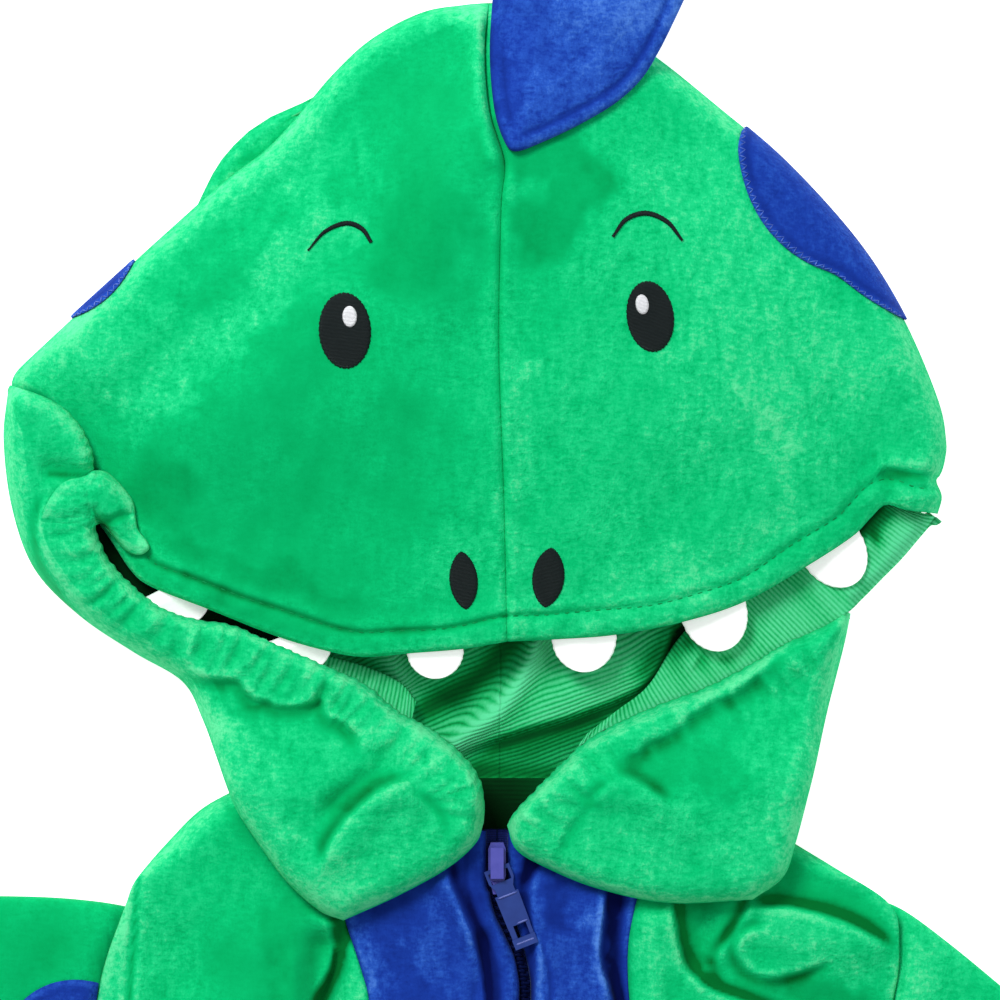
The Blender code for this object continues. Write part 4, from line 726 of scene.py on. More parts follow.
def cheekPanel(name, side, lip, rims, edge, end, border, count):
    lipLine, edgeLine, endLine = curve(lip), curve(edge), curve(end)
    firstLine = np.array([lipLine[0], edgeLine[0]])
    outer = np.vstack([edgeLine, endLine[::-1]])
    rows = np.linspace(0, 1, int(lengthOf(lipLine) / 0.72))
    near = [0, 0.08, 0.25, 0.55, 0.95, 1.5, 2.1, 2.8, 3.6, 4.5, 5.5, 6.6, 7.8, 9, 10.2]
    u = np.array([across(np.linalg.norm(pointsAt(edgeLine, v) - pointsAt(lipLine, v)), near, 62,
                         rollSteps(hood["roll"], 9)) for v in rows])
    plan = coons(lipLine, edgeLine, firstLine, endLine, u, rows)
    away, share, _ = measure(plan, lipLine)
    # the gathers make the lip's edge a little ragged
    run = rows * lengthOf(lipLine)
    ragged = 0.28 + 0.2 * np.sin(run * 2.0 + 2 * np.sin(rows * 31)) + 0.12 * np.sin(run * 0.83 + 1)
    ragged *= ease(rows * 5) * ease((1 - rows) * 12)
    toward = pointsAt(edgeLine, rows) - pointsAt(lipLine, rows)
    toward /= np.linalg.norm(toward, axis=1, keepdims=True)
    plan += toward[:, None] * (ragged[:, None] * bell(away, 3))[..., None]
    base = cheek["drape"] * ease((47 - plan[..., 1]) / 27)
    outerAway = gapTo(plan, outer)
    low = ease((52 - plan[..., 1]) / 36)
    top = cheek["top"] + cheek["rise"] * low + strokes(plan, cheek["folds"])
    steps, stepShade = ledges(plan, [row for row in cheek["ledges"] if side * row[0] > 0])
    top += steps
    # the elastic's gathers: uneven puckers across the casing, larger ones where it bunches
    wander = share + 0.006 * np.sin(17 * share + 1) + 0.004 * np.sin(53 * share)
    large = np.sin(math.tau * count * wander)
    small = np.sin(math.tau * count * 2.7 * wander + 0.4 * large)
    fan = np.sin(math.tau * count * 1.7 * wander + away * 0.22 + 2)
    grown = ease(share * 5 - 0.7) if side < 0 else 1  # the left corner is smooth
    band = bell(away - cheek["lipRoll"] - 1, 5.5)
    uneven = 0.6 + 0.4 * np.sin(23 * share + 4 * np.sin(9 * share))
    top += (band * (1.2 + grown * uneven * (0.5 * large + 0.4 * small))
            + 0.45 * fan * bell(away - 10, 5) * grown)
    borderAway, borderShare, borderSide = measure(plan, curve(border))
    over = borderAway * borderSide
    over = over + 0.3 * np.sin(borderShare * 38 + 2 * np.sin(borderShare * 15))
    high, inRun = ease(0.5 + over / 3.2), ease(np.minimum(borderShare, 1 - borderShare) * 7)
    top += 2.0 * cheek["pull"][side] * inRun * (high * bell(over, 9) - 0.45 * (1 - high) * bell(over, 5))
    # painted highlight on the casing's raised band and painted shadow below its border
    stepShade += inRun * cheek["pull"][side] * (0.6 * bell(over - 1.5, 1.8) - 1.1 * bell(over + 1.9, 2.5))
    top += ease(outerAway / 9) * (0.3 * waver(plan, 30, 12) + 0.14 * waver(plan, 11, 13))
    height = base + (top - base) * rolled(outerAway, hood["roll"])
    shares = [shareNear(lipLine, np.array(row[:2])) for row in rims]
    rim = np.maximum(np.interp(rows, shares, [row[2] for row in rims])[:, None], base)
    lowered = rim + (height - rim) * rolled(away, cheek["lipRoll"])
    height = np.where(height > rim, lowered, height)
    tipAway = np.linalg.norm(plan - lipLine[0], axis=-1)
    height = base + (height - base) * (0.25 + 0.75 * rolled(tipAway, 7))
    floor = np.where((away < cheek["lipRoll"]) & (height >= rim), rim, base)
    rimWide = 1.7 + 1.1 * ease((plan[..., 1] - 112) / 10)
    # painted highlights along the lip's roll and the rolled outer edge, and lighter ridges and darker troughs
    # painted on the gathers
    tone = (0.25 + patches(plan, cheek["nap"]) + strokes(plan, cheek["shade"]) + stepShade
            + 0.75 * bell(away - 1.6, rimWide))
    tone += 0.95 * (1 - ease(outerAway / 5)) + 0.25 * large * band * grown
    grid = np.dstack([plan, height])
    clothPiece(name, grid, [greenPlush, greenRibbed], floor=floor, tone=tone, crease=0.45)


cheekPanel("cheek_left", -1, cheek["lipLeft"], cheek["rimLeft"], hood["left"][10:], hood["endLeft"],
           cheek["borderLeft"], 22)
cheekPanel("cheek_right", 1, cheek["lipRight"], cheek["rimRight"], [(109.2, 73)] + hood["right"][15:],
           hood["endRight"], cheek["borderRight"], 13)

print("hood back")
hoodBack = {
    "neck": 22.0, "inset": 3.2, "peep": 11.0,
    "folds": [(13, 74, 9, 58, 0, 44, -14, 33, 4.2, 4.6), (38, 56, 4, 38, 9, 3.6),
              (-90, 170, -40, 120, 15, 2.0), (88, 172, 40, 128, 15, 2.0), (0, 66, -26, 46, 5, -1.2),
              (30, 62, 50, 68, 8, 1.0), (-34, 62, -31, 52, 4, 2.0)],
    # the edge of the upper layer, where it drops
    "step": [(-12, 29.5), (6.2, 36.3), (24.8, 41.5), (43.4, 49.3), (51, 57), (55.5, 67.6)],
    "shade": [(14, 66, 10, 56, 0, 44, -13, 33, 2.6, 1.5), (4, 66, -6, 54, -22, 44, 4.5, -1.6),
              (22, 62, 36, 60, 9, 0.5), (14, 42, 34, 50, 5, 0.4), (-6, 26, 30, 38, 3.4, -0.7),
              (10, 30, 24, 32, 5, -0.3), (-14, 23, 30, 23, 3.6, -1.2), (-27.5, 48, -34, 60, 3.0, 0.6),
              (-34, 46, -46, 62, 4, -0.9), (46, 55, 56, 68, 4.5, -1.3),
              (-128, 106, -116, 88, -100, 76, 9, -4.2), (-96, 74, -60, 60, 5, -3.0),
              (116, 103, 104, 92, 7, -1.4)],
    "peepShade": [(-86.5, 210.8, -76.3, 215.5, -70.4, 218.6, -65.7, 223.5, 1.3, -1.1),
                  (-84, 208, -74, 211.5, 2.2, 0.7)],
}


def hoodBackPanel(name, side, outline):
    line = curve(outline)
    line = line[line[:, 1] > hoodBack["neck"] - 6]
    shown = np.where(line[:, 0] < 0, np.sin(math.pi * np.clip((line[:, 1] - 191) / 52, 0, 1)) ** 2, 0)
    line = setIn(line, side, (hoodBack["inset"] - hoodBack["peep"] * shown)[:, None])
    rowsY = np.concatenate([np.linspace(259, 112, 34), np.linspace(111, hoodBack["neck"], 112)])
    edgeX = xOn(line, rowsY)
    share = np.concatenate([np.linspace(0, 0.5, 58), np.linspace(0.515, 1, 34)])
    plan = fill(np.zeros(len(rowsY)), edgeX, rowsY, share)
    calm = ease(gapTo(plan, line) / 20) * ease((plan[..., 1] - hoodBack["neck"]) / 5)
    height = cloth + np.maximum(strokes(plan, hoodBack["folds"]), -0.4) * calm
    stepAway, _, stepSide = measure(plan, curve(hoodBack["step"]))
    over = ease(0.5 + stepSide * stepAway / 2.0) * ease((75 - plan[..., 1]) / 30)
    height = height + 1.5 * over * calm * ease((plan[..., 0] + 16) / 12)
    fan = 0.9 + 0.3 * ease((10 - plan[..., 0]) / 30)
    ribs = plan[..., 1] * 0.93 - plan[..., 0] * 0.36 * fan + height * 0.75
    peeping = ~within(plan, hoodLoop) | (gapTo(plan, hoodLoop) < 3)
    outside = peeping & (plan[..., 1] > 150)
    # painted highlight on the upper layer's edge and painted shadow below it, where it drops
    tone = strokes(plan, hoodBack["shade"]) + 0.25 + 0.5 * bell(stepAway - 2.4, 1.2) * (stepSide > 0)
    tone -= 1.6 * bell(stepAway + 1.2 * stepSide - 0.6, 2.0) * ease((plan[..., 0] + 10) / 12)
    tone = np.where(outside, 0.45 + strokes(plan, hoodBack["peepShade"]), tone)
    height += np.where(outside, 2.2 * ease(gapTo(plan, line) / 3), 0)
    grid = np.dstack([plan, height])
    clothPiece(name, grid, [greenRibbed, greenPlush], seams=[(0, slice(None))], tone=tone, ribs=ribs,
               crease=0.1, turned=outside)


hoodBackPanel("hood_back_left", -1, hood["left"])
hoodBackPanel("hood_back_right", 1, hood["right"])

print("facings")
facing = {
    "folds": [(119.5, 90, 116, 95, 113.6, 101.5, 4, 1.6), (58, 53, 62, 60, 60, 66, 5, 1.0),
              (63, 58, 76, 62, 5, 0.8)],
    "shade": [(117, 106, 111, 99, 2.6, -2.4), (121, 104, 116, 98, 2.5, -1.0), (126, 97, 118, 88, 4, 0.5),
              (56, 62, 64, 70, 3.5, -0.9)],
    "left": ([(-60, 57), (-47, 50), (-36, 43), (-28, 38)], [(-56, 61), (-42, 57), (-31, 52), (-26, 46)],
             [10.5, 10.5, 10.5, 10.5], 1.8, None),
    "right": ([(24, 32), (31, 37), (38, 40.7), (50, 45.8), (64, 51), (77, 57.7), (88, 64.2), (99.8, 69.4),
               (109.4, 76), (119, 85.5), (125, 91.5), (131.6, 99.3), (135, 103.4)],
              [(27, 36), (36, 43), (46, 51), (55, 65), (66, 76), (80, 83), (94, 92), (105, 99), (113, 104.5),
               (119, 107.5), (126, 106)],
              [9.3, 9.0, 7.2, 6.4], 0.9, [(112, 76.5), (121, 85.5), (128.5, 94), (136, 103.5)]),
}
for end in ("left", "right"):
    lower, upper, heights, fall, edge = facing[end]
    lines = curve(lower), curve(upper)
    rows = np.linspace(0, 1, int(lengthOf(lines[0]) / 0.9))
    cols = np.linspace(0, 1, 34)
    start, stop = pointsAt(lines[0], rows), pointsAt(lines[1], rows)
    start = start - (stop - start) / np.linalg.norm(stop - start, axis=1, keepdims=True)  # on under the lip
    plan = start[:, None] + (stop - start)[:, None] * cols[None, :, None]
    height = np.interp(rows, [0, 0.6, 0.8, 1], heights)[:, None] - fall * cols
    pucker = np.sin(rows[:, None] * 70 + 3 * np.sin(rows[:, None] * 17))
    height = height - 0.35 + 0.35 * pucker * np.sin(cols * math.pi) - 0.8 * (1 - rolled((1 - cols) * 12, 2))
    if edge:
        height = height * rolled(gapTo(plan, curve(edge)), 5.0)
    ribs = rows[:, None] * lengthOf(lines[0]) + 3 * cols
    light = 0.85 - 0.6 * cols + 0.2 * pucker * np.ones_like(cols)
    if edge:  # twisted and bunched at the corner, with a fold of the plush round it
        steps, stepShade = ledges(plan, facing["folds"])
        height, light = height + steps * rolled(gapTo(plan, curve(edge)), 5.0), light + stepShade
        light += strokes(plan, facing["shade"])
    clothPiece(f"facing_{end}", np.dstack([plan, height]), [greenRibbed, greenPlush], ribs=ribs,
               tone=light, crease=0.2)

print("body")
body = {
    "top": 14.0, "rise": 2.2, "half": 130.0, "underHood": 16.4, "sleeveSeam": 12.6, "crotch": -335.0,
    "hem": -570.0, "hemTurn": 20, "bellyEnd": -296.0, "zipEdge": 12.0,
    "armSeam": [(-104, 4), (-110.4, -4.7), (-112.5, -12.4), (-113.5, -27.9), (-114.7, -45.9), (-115, -75),
                (-112, -105), (-110, -128)],
    "left": [(-76, 20.5), (-84, 17.4), (-94, 11.5), (-103.8, 1.6), (-109.8, -5.3), (-113.6, -10.5),
             (-115.6, -16), (-118.4, -23.5), (-121.8, -33.2), (-124.3, -44), (-126, -62), (-125.5, -85),
             (-122, -108), (-119, -126), (-120, -142), (-124, -168), (-130, -210), (-135, -260),
             (-138, -310), (-139, -370), (-135, -440), (-129, -510), (-124, -570)],
    "right": [(62, 19.5), (71, 14), (81, 8), (92, 1.4), (105, -6.2), (114.5, -11.8), (119.8, -15.8),
              (122.9, -20.5), (123.6, -28), (123.4, -37), (121.6, -47), (117, -66), (112, -90),
              (108.4, -112), (107.4, -126), (110, -145), (118, -180), (126, -222), (132, -265), (136, -312),
              (138, -370), (135, -440), (130, -510), (126, -570)],
    "innerLeg": [(0.15, -335), (5, -338), (11, -350), (19, -400), (27, -470), (31, -530), (32, -570)],
    "zip": [(-0.9, 7), (-0.9, -8), (0.4, -17), (4, -27), (6.7, -37), (7.3, -47), (5.6, -75), (2, -120),
            (0, -180), (0, -240), (0, -296)],
    "bellyLeft": [(-60, 19), (-54, 8), (-50, -8), (-48, -21), (-42.8, -37), (-40.5, -48), (-43, -66),
                  (-50, -95), (-58, -135), (-61, -175), (-57, -215), (-45, -250), (-27, -277), (-12, -290),
                  (-4.2, -296)],
    "bellyRight": [(54, 18), (49, 8), (45, -6), (41.6, -18), (39.6, -30), (40, -46), (43, -66), (50, -95),
                   (58, -135), (61, -175), (57, -215), (45, -250), (27, -277), (12, -290), (4.2, -296)],
    # folds with a steep side; the higher side is on the left of the line's run
    "drop": [(-67, -78, -62, -60, -57.4, -46.2, -54, -40, -51.8, -34.7, -50.8, -27, -51, -21, -49, -12, 9,
              3.4)],
    "ledges": [(94, -58, 84, -50, 76.9, -46.6, 65.7, -42.6, 58.2, -36.4, 55.5, -29, 54.3, -22, 52.5, -8, 6,
                2.2),
               (78, -8, 76.4, -17, 72, -25, 67.6, -31.5, 66.6, -38, 5, 1.8),
               (124, -33, 116.3, -27, 105.4, -21.4, 91.1, -17.6, 84, -17.2, 76, -17.6, 9, 2.2),
               (85, -23, 77, -24.4, 73.4, -28, 73.4, -32.5, 77, -37.4, 84.3, -39.4, 94, -37, 104, -33, 5,
                1.5)],
    "blueLedges": [(-4.9, -75, -4.7, -45.3, -6.8, -30.7, -11.2, -18.6, -15.8, -7.4, -17, 4, 6, 1.7),
                   (13.4, 0, 12, -4.5, 8.4, -11.2, 8.7, -15.5, 10.2, -23.3, 10.9, -31.6, 10.6, -50, 9, -80,
                    6, 1.6),
                   (40, -66, 36.6, -50, 31.6, -35.3, 31.4, -27, 32.9, -13.3, 33.5, -2, 7, 2.2)],
    "folds": [(-54.5, -30, -56, -62, 5.5, -6.5), (-72, -32, -82, -84, 13, 2.6),
              (-98, -30, -100, -80, 9, -2.0), (-16.5, -9, -9, -25, 4.2, 1.4),
              (-4.8, -27, -7.6, -52, 2.6, -1.9), (11.5, -4, 8.6, -14, 3.0, -1.2),
              (31.5, -14, 32, -44, 4.0, 1.2), (36.3, -17, 36.3, -58, 2.8, -2.4),
              (47, -24, 48, -72, 5.0, 2.2), (62, -18, 61, -33, 4.5, -3.6), (90, -8, 110, -14, 7, -2.2),
              (88, -28, 106, -30, 7.0, 2.4), (90, -47, 112, -51, 7.0, -3.2), (-96, -132, -58, -205, 15, 3.2),
              (92, -134, 52, -200, 14, 3.0), (-84, -250, -30, -312, 13, 3.0), (88, -242, 28, -306, 12, 2.8),
              (-20, -328, -78, -352, 11, -3.0), (18, -330, 84, -362, 12, -3.0),
              (-118, -436, -62, -424, 8, -2.6), (-112, -462, -48, -470, 9, 2.4),
              (58, -430, 122, -446, 8, -2.6), (46, -474, 108, -462, 9, 2.4), (-78, -500, -82, -556, 12, 2.2),
              (82, -506, 76, -560, 12, 2.2)],
    "fineFolds": [(70, -22, 62, -40, 2.2, 0.8), (-64, -34, -66, -60, 3, 0.9), (-110, -40, -112, -90, 5, 0.8),
                  (-90, -150, -70, -176, 4, -0.8), (76, -160, 60, -190, 4, -0.8),
                  (-120, -300, -84, -316, 5, -0.9), (118, -306, 86, -326, 5, -0.9),
                  (-104, -380, -60, -388, 4, 0.8), (100, -392, 62, -384, 4, 0.8),
                  (-60, -440, -110, -452, 3, -0.9), (62, -452, 112, -446, 3, -0.9),
                  (92, -60, 106, -84, 5, 1.0)],
    "nap": [(-76, -34, -100, -70, 14, -0.15), (-104, -4, -96, -60, 8, 0.15), (-64, -24, -60, -60, 7, -0.45),
            (84, -24, 112, -36, 7, 0.5), (94, -45, 110, -50, 8, -0.7), (96, -2, 118, -22, 11, -0.25),
            (62, -18, 61, -32, 5, -0.45), (46, -22, 48, -50, 5, 0.4), (-46, -38, -49, -48, 4, 0.45),
            (-80, -160, -40, -240, 26, 0.4), (80, -200, 60, -280, 26, -0.35),
            (-90, -400, -80, -500, 26, -0.4), (80, -380, 90, -480, 26, 0.35)],
    "shade": [(78, -14, 90, -13.6, 103, -16.6, 114, -22, 3.4, -0.45), (-84, -30, -62, -44, 12, -0.35),
              (66, -35, 66.6, -39.5, 2.2, -1.4), (63, -40, 76, -46, 1.8, -0.8),
              (-50, -20, -47.6, -26, 2.8, -1.8), (-49.5, -26, -50, -34, 2.0, -1.0),
              (68, -14, 69, -26, 2.4, -0.5)],
    "blueShade": [(36.4, -8, 36.2, -24, 37, -60, 2.6, -1.3), (-8, -2, -6, -20, -4.6, -48, 2.6, -0.5)],
    "blueNap": [(-40, -24, -34, -40, 5, 0.35), (-34, -20, -28, -60, 7, -0.3), (-20, -24, -16, -46, 5, 0.3),
                (18, -14, 21, -20, 4.5, -0.6), (20, -32, 24, -46, 6, 0.15), (30, -16, 30, -40, 2.4, 0.6),
                (20, -60, 30, -160, 16, 0.4), (-24, -80, -30, -180, 16, -0.35), (10, -1, 8, -12, 2.2, -0.9),
                (-5, -6, -1, -46, 4.5, -0.35), (-41, -30, -44, -44, 2, 0.5)],
}
bodyLeft, bodyRight = curve(body["left"]), curve(body["right"])
innerLeg = curve(body["innerLeg"])
bodyEdges = [bodyLeft, np.vstack([(innerLeg * (-1, 1))[::-1], innerLeg]), bodyRight]
zipLine = curve(body["zip"])


def bodyHeight(xy, table="ledges"):
    rise = body["rise"] * (1 - np.clip(xy[..., 0] / body["half"], -1, 1) ** 2)
    top = body["top"] + rise + 3.0 * ease((-34 - xy[..., 1]) / 30) + strokes(xy, body["folds"])
    top -= 2.5 * ease((-330 - xy[..., 1]) / 120)
    away = np.where(within(xy, hoodLoop), 0, gapTo(xy, hoodLoop))
    edge = np.min([gapTo(xy, line) for line in bodyEdges], axis=0)
    calm = ease(edge / 12) * ease(away / 6)
    top += calm * (strokes(xy, body["fineFolds"]) + 0.45 * waver(xy, 60, 21) + 0.16 * waver(xy, 17, 22))
    steps, stepShade = ledges(xy, body[table])
    if table == "ledges":
        more, moreShade = ledges(xy, body["drop"], 0.1)
        steps, stepShade = steps + more, stepShade + moreShade
    top += steps * ease(edge / 7) * ease(away / 3)
    top = np.minimum(top, body["underHood"] + 0.9 * away)
    armhole = ease((3 - xy[..., 1]) / 12) * ease((xy[..., 1] + 141) / 15)
    base = np.where(np.abs(xy[..., 0]) > 80, body["sleeveSeam"] * armhole, 0)
    stepShade = stepShade - 0.55 * (1 - ease(away / 6)) * (away > 0)  # in the hood's shade
    return base + (top - base) * rolled(edge, hood["roll"]), base, edge, stepShade


def frontPanel(name, side, outline, belly):
    rowsY = np.concatenate([np.linspace(19, -62, 84), np.linspace(-63.5, -330, 80), [-333, -335.2],
                            np.linspace(-337, body["hem"] + 9, 60),
                            np.linspace(body["hem"] + 7.5, body["hem"], 9)])
    edge, seam = curve(outline), curve(belly) + (side * 0.03, 0)
    innerX = np.where(rowsY > body["bellyEnd"] - 2, xOn(seam, rowsY), side * 0.02)
    innerX = np.where(rowsY < body["crotch"], xOn(innerLeg * (side, 1), rowsY), innerX)
    outerX = xOn(edge, rowsY)
    u = []
    for a, b, y in zip(innerX, outerX, rowsY):
        near = [0, 0.5, 1.6, 3, 4.6, 6.4] if y < body["crotch"] else [0, 0.6, 1.3, 2.3, 4, 6.4]
        u.append(across(abs(b - a), near, 74, rollSteps(hood["roll"], 9)))
    u = np.array(u)
    plan = fill(innerX, outerX, rowsY, u)
    height, base, edgeAway, stepShade = bodyHeight(plan)
    seamAway = gapTo(plan, seam[seam[:, 1] > body["bellyEnd"] - 4])
    height -= 0.9 * bell(seamAway, 0.9) * (plan[..., 1] > body["bellyEnd"] - 6)
    hemUp = plan[..., 1] - body["hem"] - body["hemTurn"]
    height += ease(edgeAway / 8) * (-0.8 * bell(hemUp, 0.9) + 0.35 * bell(hemUp + 4, 3))
    tone = 0.02 + patches(plan, body["nap"]) + strokes(plan, body["shade"]) + stepShade
    # painted highlight along the rolled outer edge, and painted shade in the leg hem's stitching groove
    tone += 0.9 * (1 - ease(edgeAway / 5))
    tone -= 0.4 * bell(hemUp, 1.4)
    armAway, armShare, armSide = measure(plan, curve(body["armSeam"]))
    strip = 0.5 * (1 - ease((armAway * armSide + 1.0) / 2.0)) * (armSide < 0) * (plan[..., 0] < -100)
    fade = ease((1 - armShare) * 8)
    height += fade * ease(edgeAway / 3) * (-1.0 * bell(armAway, 1.1) + 0.45 * bell(armAway - 2.6, 1.5))
    # painted shade in the arm seam's groove, with a painted highlight beside it and a lighter strip on the
    # sleeve's side
    tone += fade * (strip - 0.95 * bell(armAway, 1.0) + 0.4 * bell(armAway - 2.4, 1.3))
    grid = np.dstack([plan, height])
    clothPiece(name, grid, [greenPlush, greenRibbed], floor=base, tone=tone,
               seams=[(0, rowsY > body["crotch"])])


frontPanel("front_left", -1, body["left"], body["bellyLeft"])
frontPanel("front_right", 1, body["right"], body["bellyRight"])

print("belly")


def bellyPanel(name, side, outline):
    rowsY = np.concatenate([np.linspace(6, -60, 60), np.linspace(-61.5, -291, 96)])
    middle = xOn(zipLine, rowsY)
    nearer = ease((-20 - rowsY) / 14) * (1.3 if side < 0 else 0.5)
    innerX = middle + side * (np.where(rowsY > -12, 3.2, 2.6) - nearer)
    outerX = xOn(curve(outline), rowsY)
    outerX = np.where(side * (outerX - innerX) < 6, innerX + side * 6, outerX)
    u = np.array([across(abs(b - a), [0, 0.2, 0.6, 1.1, 1.7, 2.4, 3.2, 4.2, 5.2], 52, [3.2, 2, 1.2, 0.6, 0])
                  for a, b in zip(innerX, outerX)])
    plan = fill(innerX, outerX, rowsY, u)
    plan[..., 1] += 9 * ease(np.abs(plan[..., 0] - middle[:, None]) / 50) * ease((rowsY[:, None] + 14) / 20)
    height, _, _, stepShade = bodyHeight(plan, "blueLedges")
    seamAway = np.abs(plan[..., 0] - outerX[:, None])
    away = np.abs(plan[..., 0] - innerX[:, None])
    height = height - 0.9 * bell(seamAway, 0.9)
    height = body["zipEdge"] + (height - body["zipEdge"]) * rolled(away, 3.0)
    stitchAway = np.abs(away - 6.5)
    height -= 0.5 * bell(stitchAway, 0.7)
    # painted highlight on the zip edge's roll and beside the outer seam, and painted shade along the
    # stitching
    tone = (patches(plan, body["blueNap"]) + strokes(plan, body["blueShade"]) + stepShade
            + 0.2 * bell(away - 1.2, 1.2) - 0.35 * bell(stitchAway, 1.0))
    tone += 0.5 * bell(seamAway - 1.5, 1.6)
    grid = np.dstack([plan, height])
    floor = np.where(away < 3, body["zipEdge"], 0)
    clothPiece(name, grid, [bluePlush, blueRibbed], floor=floor, tone=tone, seams=[(-1, slice(None))])


bellyPanel("belly_left", -1, body["bellyLeft"])
bellyPanel("belly_right", 1, body["bellyRight"])

print("back")


back = {
    "inset": 3.6, "legInset": 3.4, "columns": 30,
    "armhole": (-14, -124),  # its sides run straight from here to here, beside the sleeves
    "armholeX": {-1: (-112, -112), 1: (102.3, 110.5)},
}


def backPanel():
    leg = setIn(innerLeg, -1, back["legInset"])
    forked = body["crotch"] + 3.6
    rowsY = np.concatenate([np.linspace(hoodBack["neck"], forked, 96),
                            np.linspace(body["crotch"] + 1, body["hem"], 60)])
    innerX = np.where(rowsY < forked, xOn(leg, rowsY), 0)
    share = np.linspace(0, 1, back["columns"])
    top, bottom = back["armhole"]
    number, corners, faces = {}, [], []  # corners on the centre line belong to both halves
    for side, line in ((1, bodyRight), (-1, bodyLeft)):
        straight = np.interp(rowsY, [bottom + 1, top - 2], back["armholeX"][side])
        outerX = np.where((rowsY < top) & (rowsY > bottom), straight,
                          xOn(setIn(line, side, back["inset"]), rowsY))
        plan = fill(side * innerX, outerX, rowsY, share)
        which = np.empty(plan.shape[:2], int)
        for r, c in np.ndindex(which.shape):
            key = (r, c if side > 0 else -c) if innerX[r] == 0 else (r, c, side)
            if key not in number:
                number[key] = len(corners)
                corners.append((*plan[r, c], 0))
            which[r, c] = number[key]
        quads = np.stack([which[:-1, :-1], which[:-1, 1:], which[1:, 1:], which[1:, :-1]], -1).reshape(-1, 4)
        faces += [tuple(quad if side < 0 else quad[::-1]) for quad in quads.tolist()]
    count = len(corners)
    corners = np.vstack([corners, np.array(corners) + (0, 0, cloth)])
    edges = dict.fromkeys((a, b) for face in faces for a, b in zip(face, face[1:] + face[:1]))
    rim = [(b, a, a + count, b + count) for a, b in edges if (b, a) not in edges]
    upper = [tuple(k + count for k in face[::-1]) for face in faces]
    which = np.array([0] * len(faces) + [1] * len(faces) + [0] * len(rim), np.int32)
    # random tone, and painted shade in the middle at the top, where the back shows under the hood at the neck
    tone = (0.3 * waver(corners[:, :2], 120, 31)
            - 2.1 * bell(corners[:, 0] - 2, 40) * ease((corners[:, 1] + 8) / 8))
    meshPiece("back", corners, faces + upper + rim, [greenPlush, greenRibbed], which,
              {"tone": tone, "ribs": corners[:, 1]}, smooth=False)


backPanel()

print("sleeves")
sleeves = {
    "length": 222, "hemTurn": 18,
    # ax, ay, bx, by, height of each section
    "left": [(-112.3, -18.5, -112.3, -120, 11.6), (-126, -16.2, -127, -121, 12.0),
             (-144, -14.8, -147, -119, 13.2), (-172, -14.6, -176, -115.5, 14.0),
             (-205, -15.6, -209, -111, 13.6), (-240, -17.8, -242, -106.5, 13.6),
             (-275, -20.6, -275, -102, 13.2), (-308, -23.8, -307, -98.6, 12.6), (-335, -27, -333, -97, 12.0)],
    "right": [(111.5, -14.5, 103.2, -122, 11.6), (124, -18.2, 113, -131, 12.0), (140, -29.6, 129, -143, 13.2),
              (163, -48.6, 151, -158, 14.0), (190, -70.8, 175, -174, 13.6), (220, -95.6, 200, -190, 13.6),
              (249, -120, 223, -204, 13.2), (277, -144.5, 243, -216, 12.6), (303, -168, 261, -226, 12.0)],
    "folds": [(-150, -34, -196, -86, 12, 2.4), (-158, -98, -214, -60, 10, -2.2),
              (-232, -30, -250, -92, 10, 2.2), (-284, -36, -276, -92, 9, -1.8),
              (150, -66, 196, -150, 12, 2.4), (136, -118, 198, -118, 10, -2.2),
              (214, -106, 206, -178, 10, 2.2), (256, -140, 236, -196, 9, -1.8),
              (-176, -40, -204, -64, 4, 1.0), (-256, -60, -300, -54, 4, -0.9),
              (-130, -30, -150, -60, 5, 0.8), (166, -70, 186, -104, 4, 1.0), (216, -130, 246, -160, 4, -0.9),
              (128, -40, 140, -66, 5, 0.8)],
}
bodyLoop = np.vstack([bodyLeft, bodyRight[::-1]])


def sleevePanel(name, table, nap):
    shares = np.concatenate([np.linspace(0, 0.91, 88), np.linspace(0.918, 1, 14)])
    table = pointsAt(curve(table), shares)
    up = np.radians(np.concatenate([np.linspace(0, 24, 7), np.linspace(30, 150, 42),
                                    np.linspace(156, 180, 7)]))
    down = np.radians(np.concatenate([np.linspace(186, 212, 6), np.linspace(222, 318, 22),
                                      np.linspace(328, 354, 6)]))
    rings = []
    for share, (ax, ay, bx, by, height) in zip(shares, table):
        middle, half = np.array([(ax + bx) / 2, (ay + by) / 2]), np.array([(ax - bx) / 2, (ay - by) / 2])
        sideHeight = 0.36 * height
        plan = middle + np.cos(np.concatenate([up, down]))[:, None] * half
        crest = np.sin(up) ** 0.55
        above = plan[:len(up)]
        top = sideHeight + (height - sideHeight) * crest
        top += (strokes(above, sleeves["folds"]) + 0.3 * waver(above, 40, 41)) * crest**2
        beside = gapTo(above, bodyLoop) * ~within(above, bodyLoop)
        top += 3.2 * crest * ease((beside - 0.6) / 2.4) * (1 - ease((beside - 4) / 22))
        hemUp = (1 - share) * sleeves["length"] - sleeves["hemTurn"]
        top += crest**2 * (-0.8 * bell(hemUp, 0.9) + 0.3 * bell(hemUp + 4, 3))
        sink = np.clip(np.abs(np.sin(down)) / 0.5, 0, 1)
        rings.append(np.column_stack([plan, np.concatenate([top, sideHeight * (1 - sink) ** 2])]))
    grid = np.array(rings)
    hemUp = (1 - shares[:, None]) * sleeves["length"] - sleeves["hemTurn"]
    # painted shade in the hem's stitching groove
    tone = nap + 0.2 * waver(grid[..., :2], 50, 42) - 0.3 * bell(hemUp, 1.4)
    clothPiece(name, grid, [greenPlush, greenRibbed], ring=True, tone=tone, crease=0.3)


sleevePanel("sleeve_left", sleeves["left"], -0.6)
sleevePanel("sleeve_right", sleeves["right"], 0.3)

jawTrees = treeOf("face_left", "face_right")

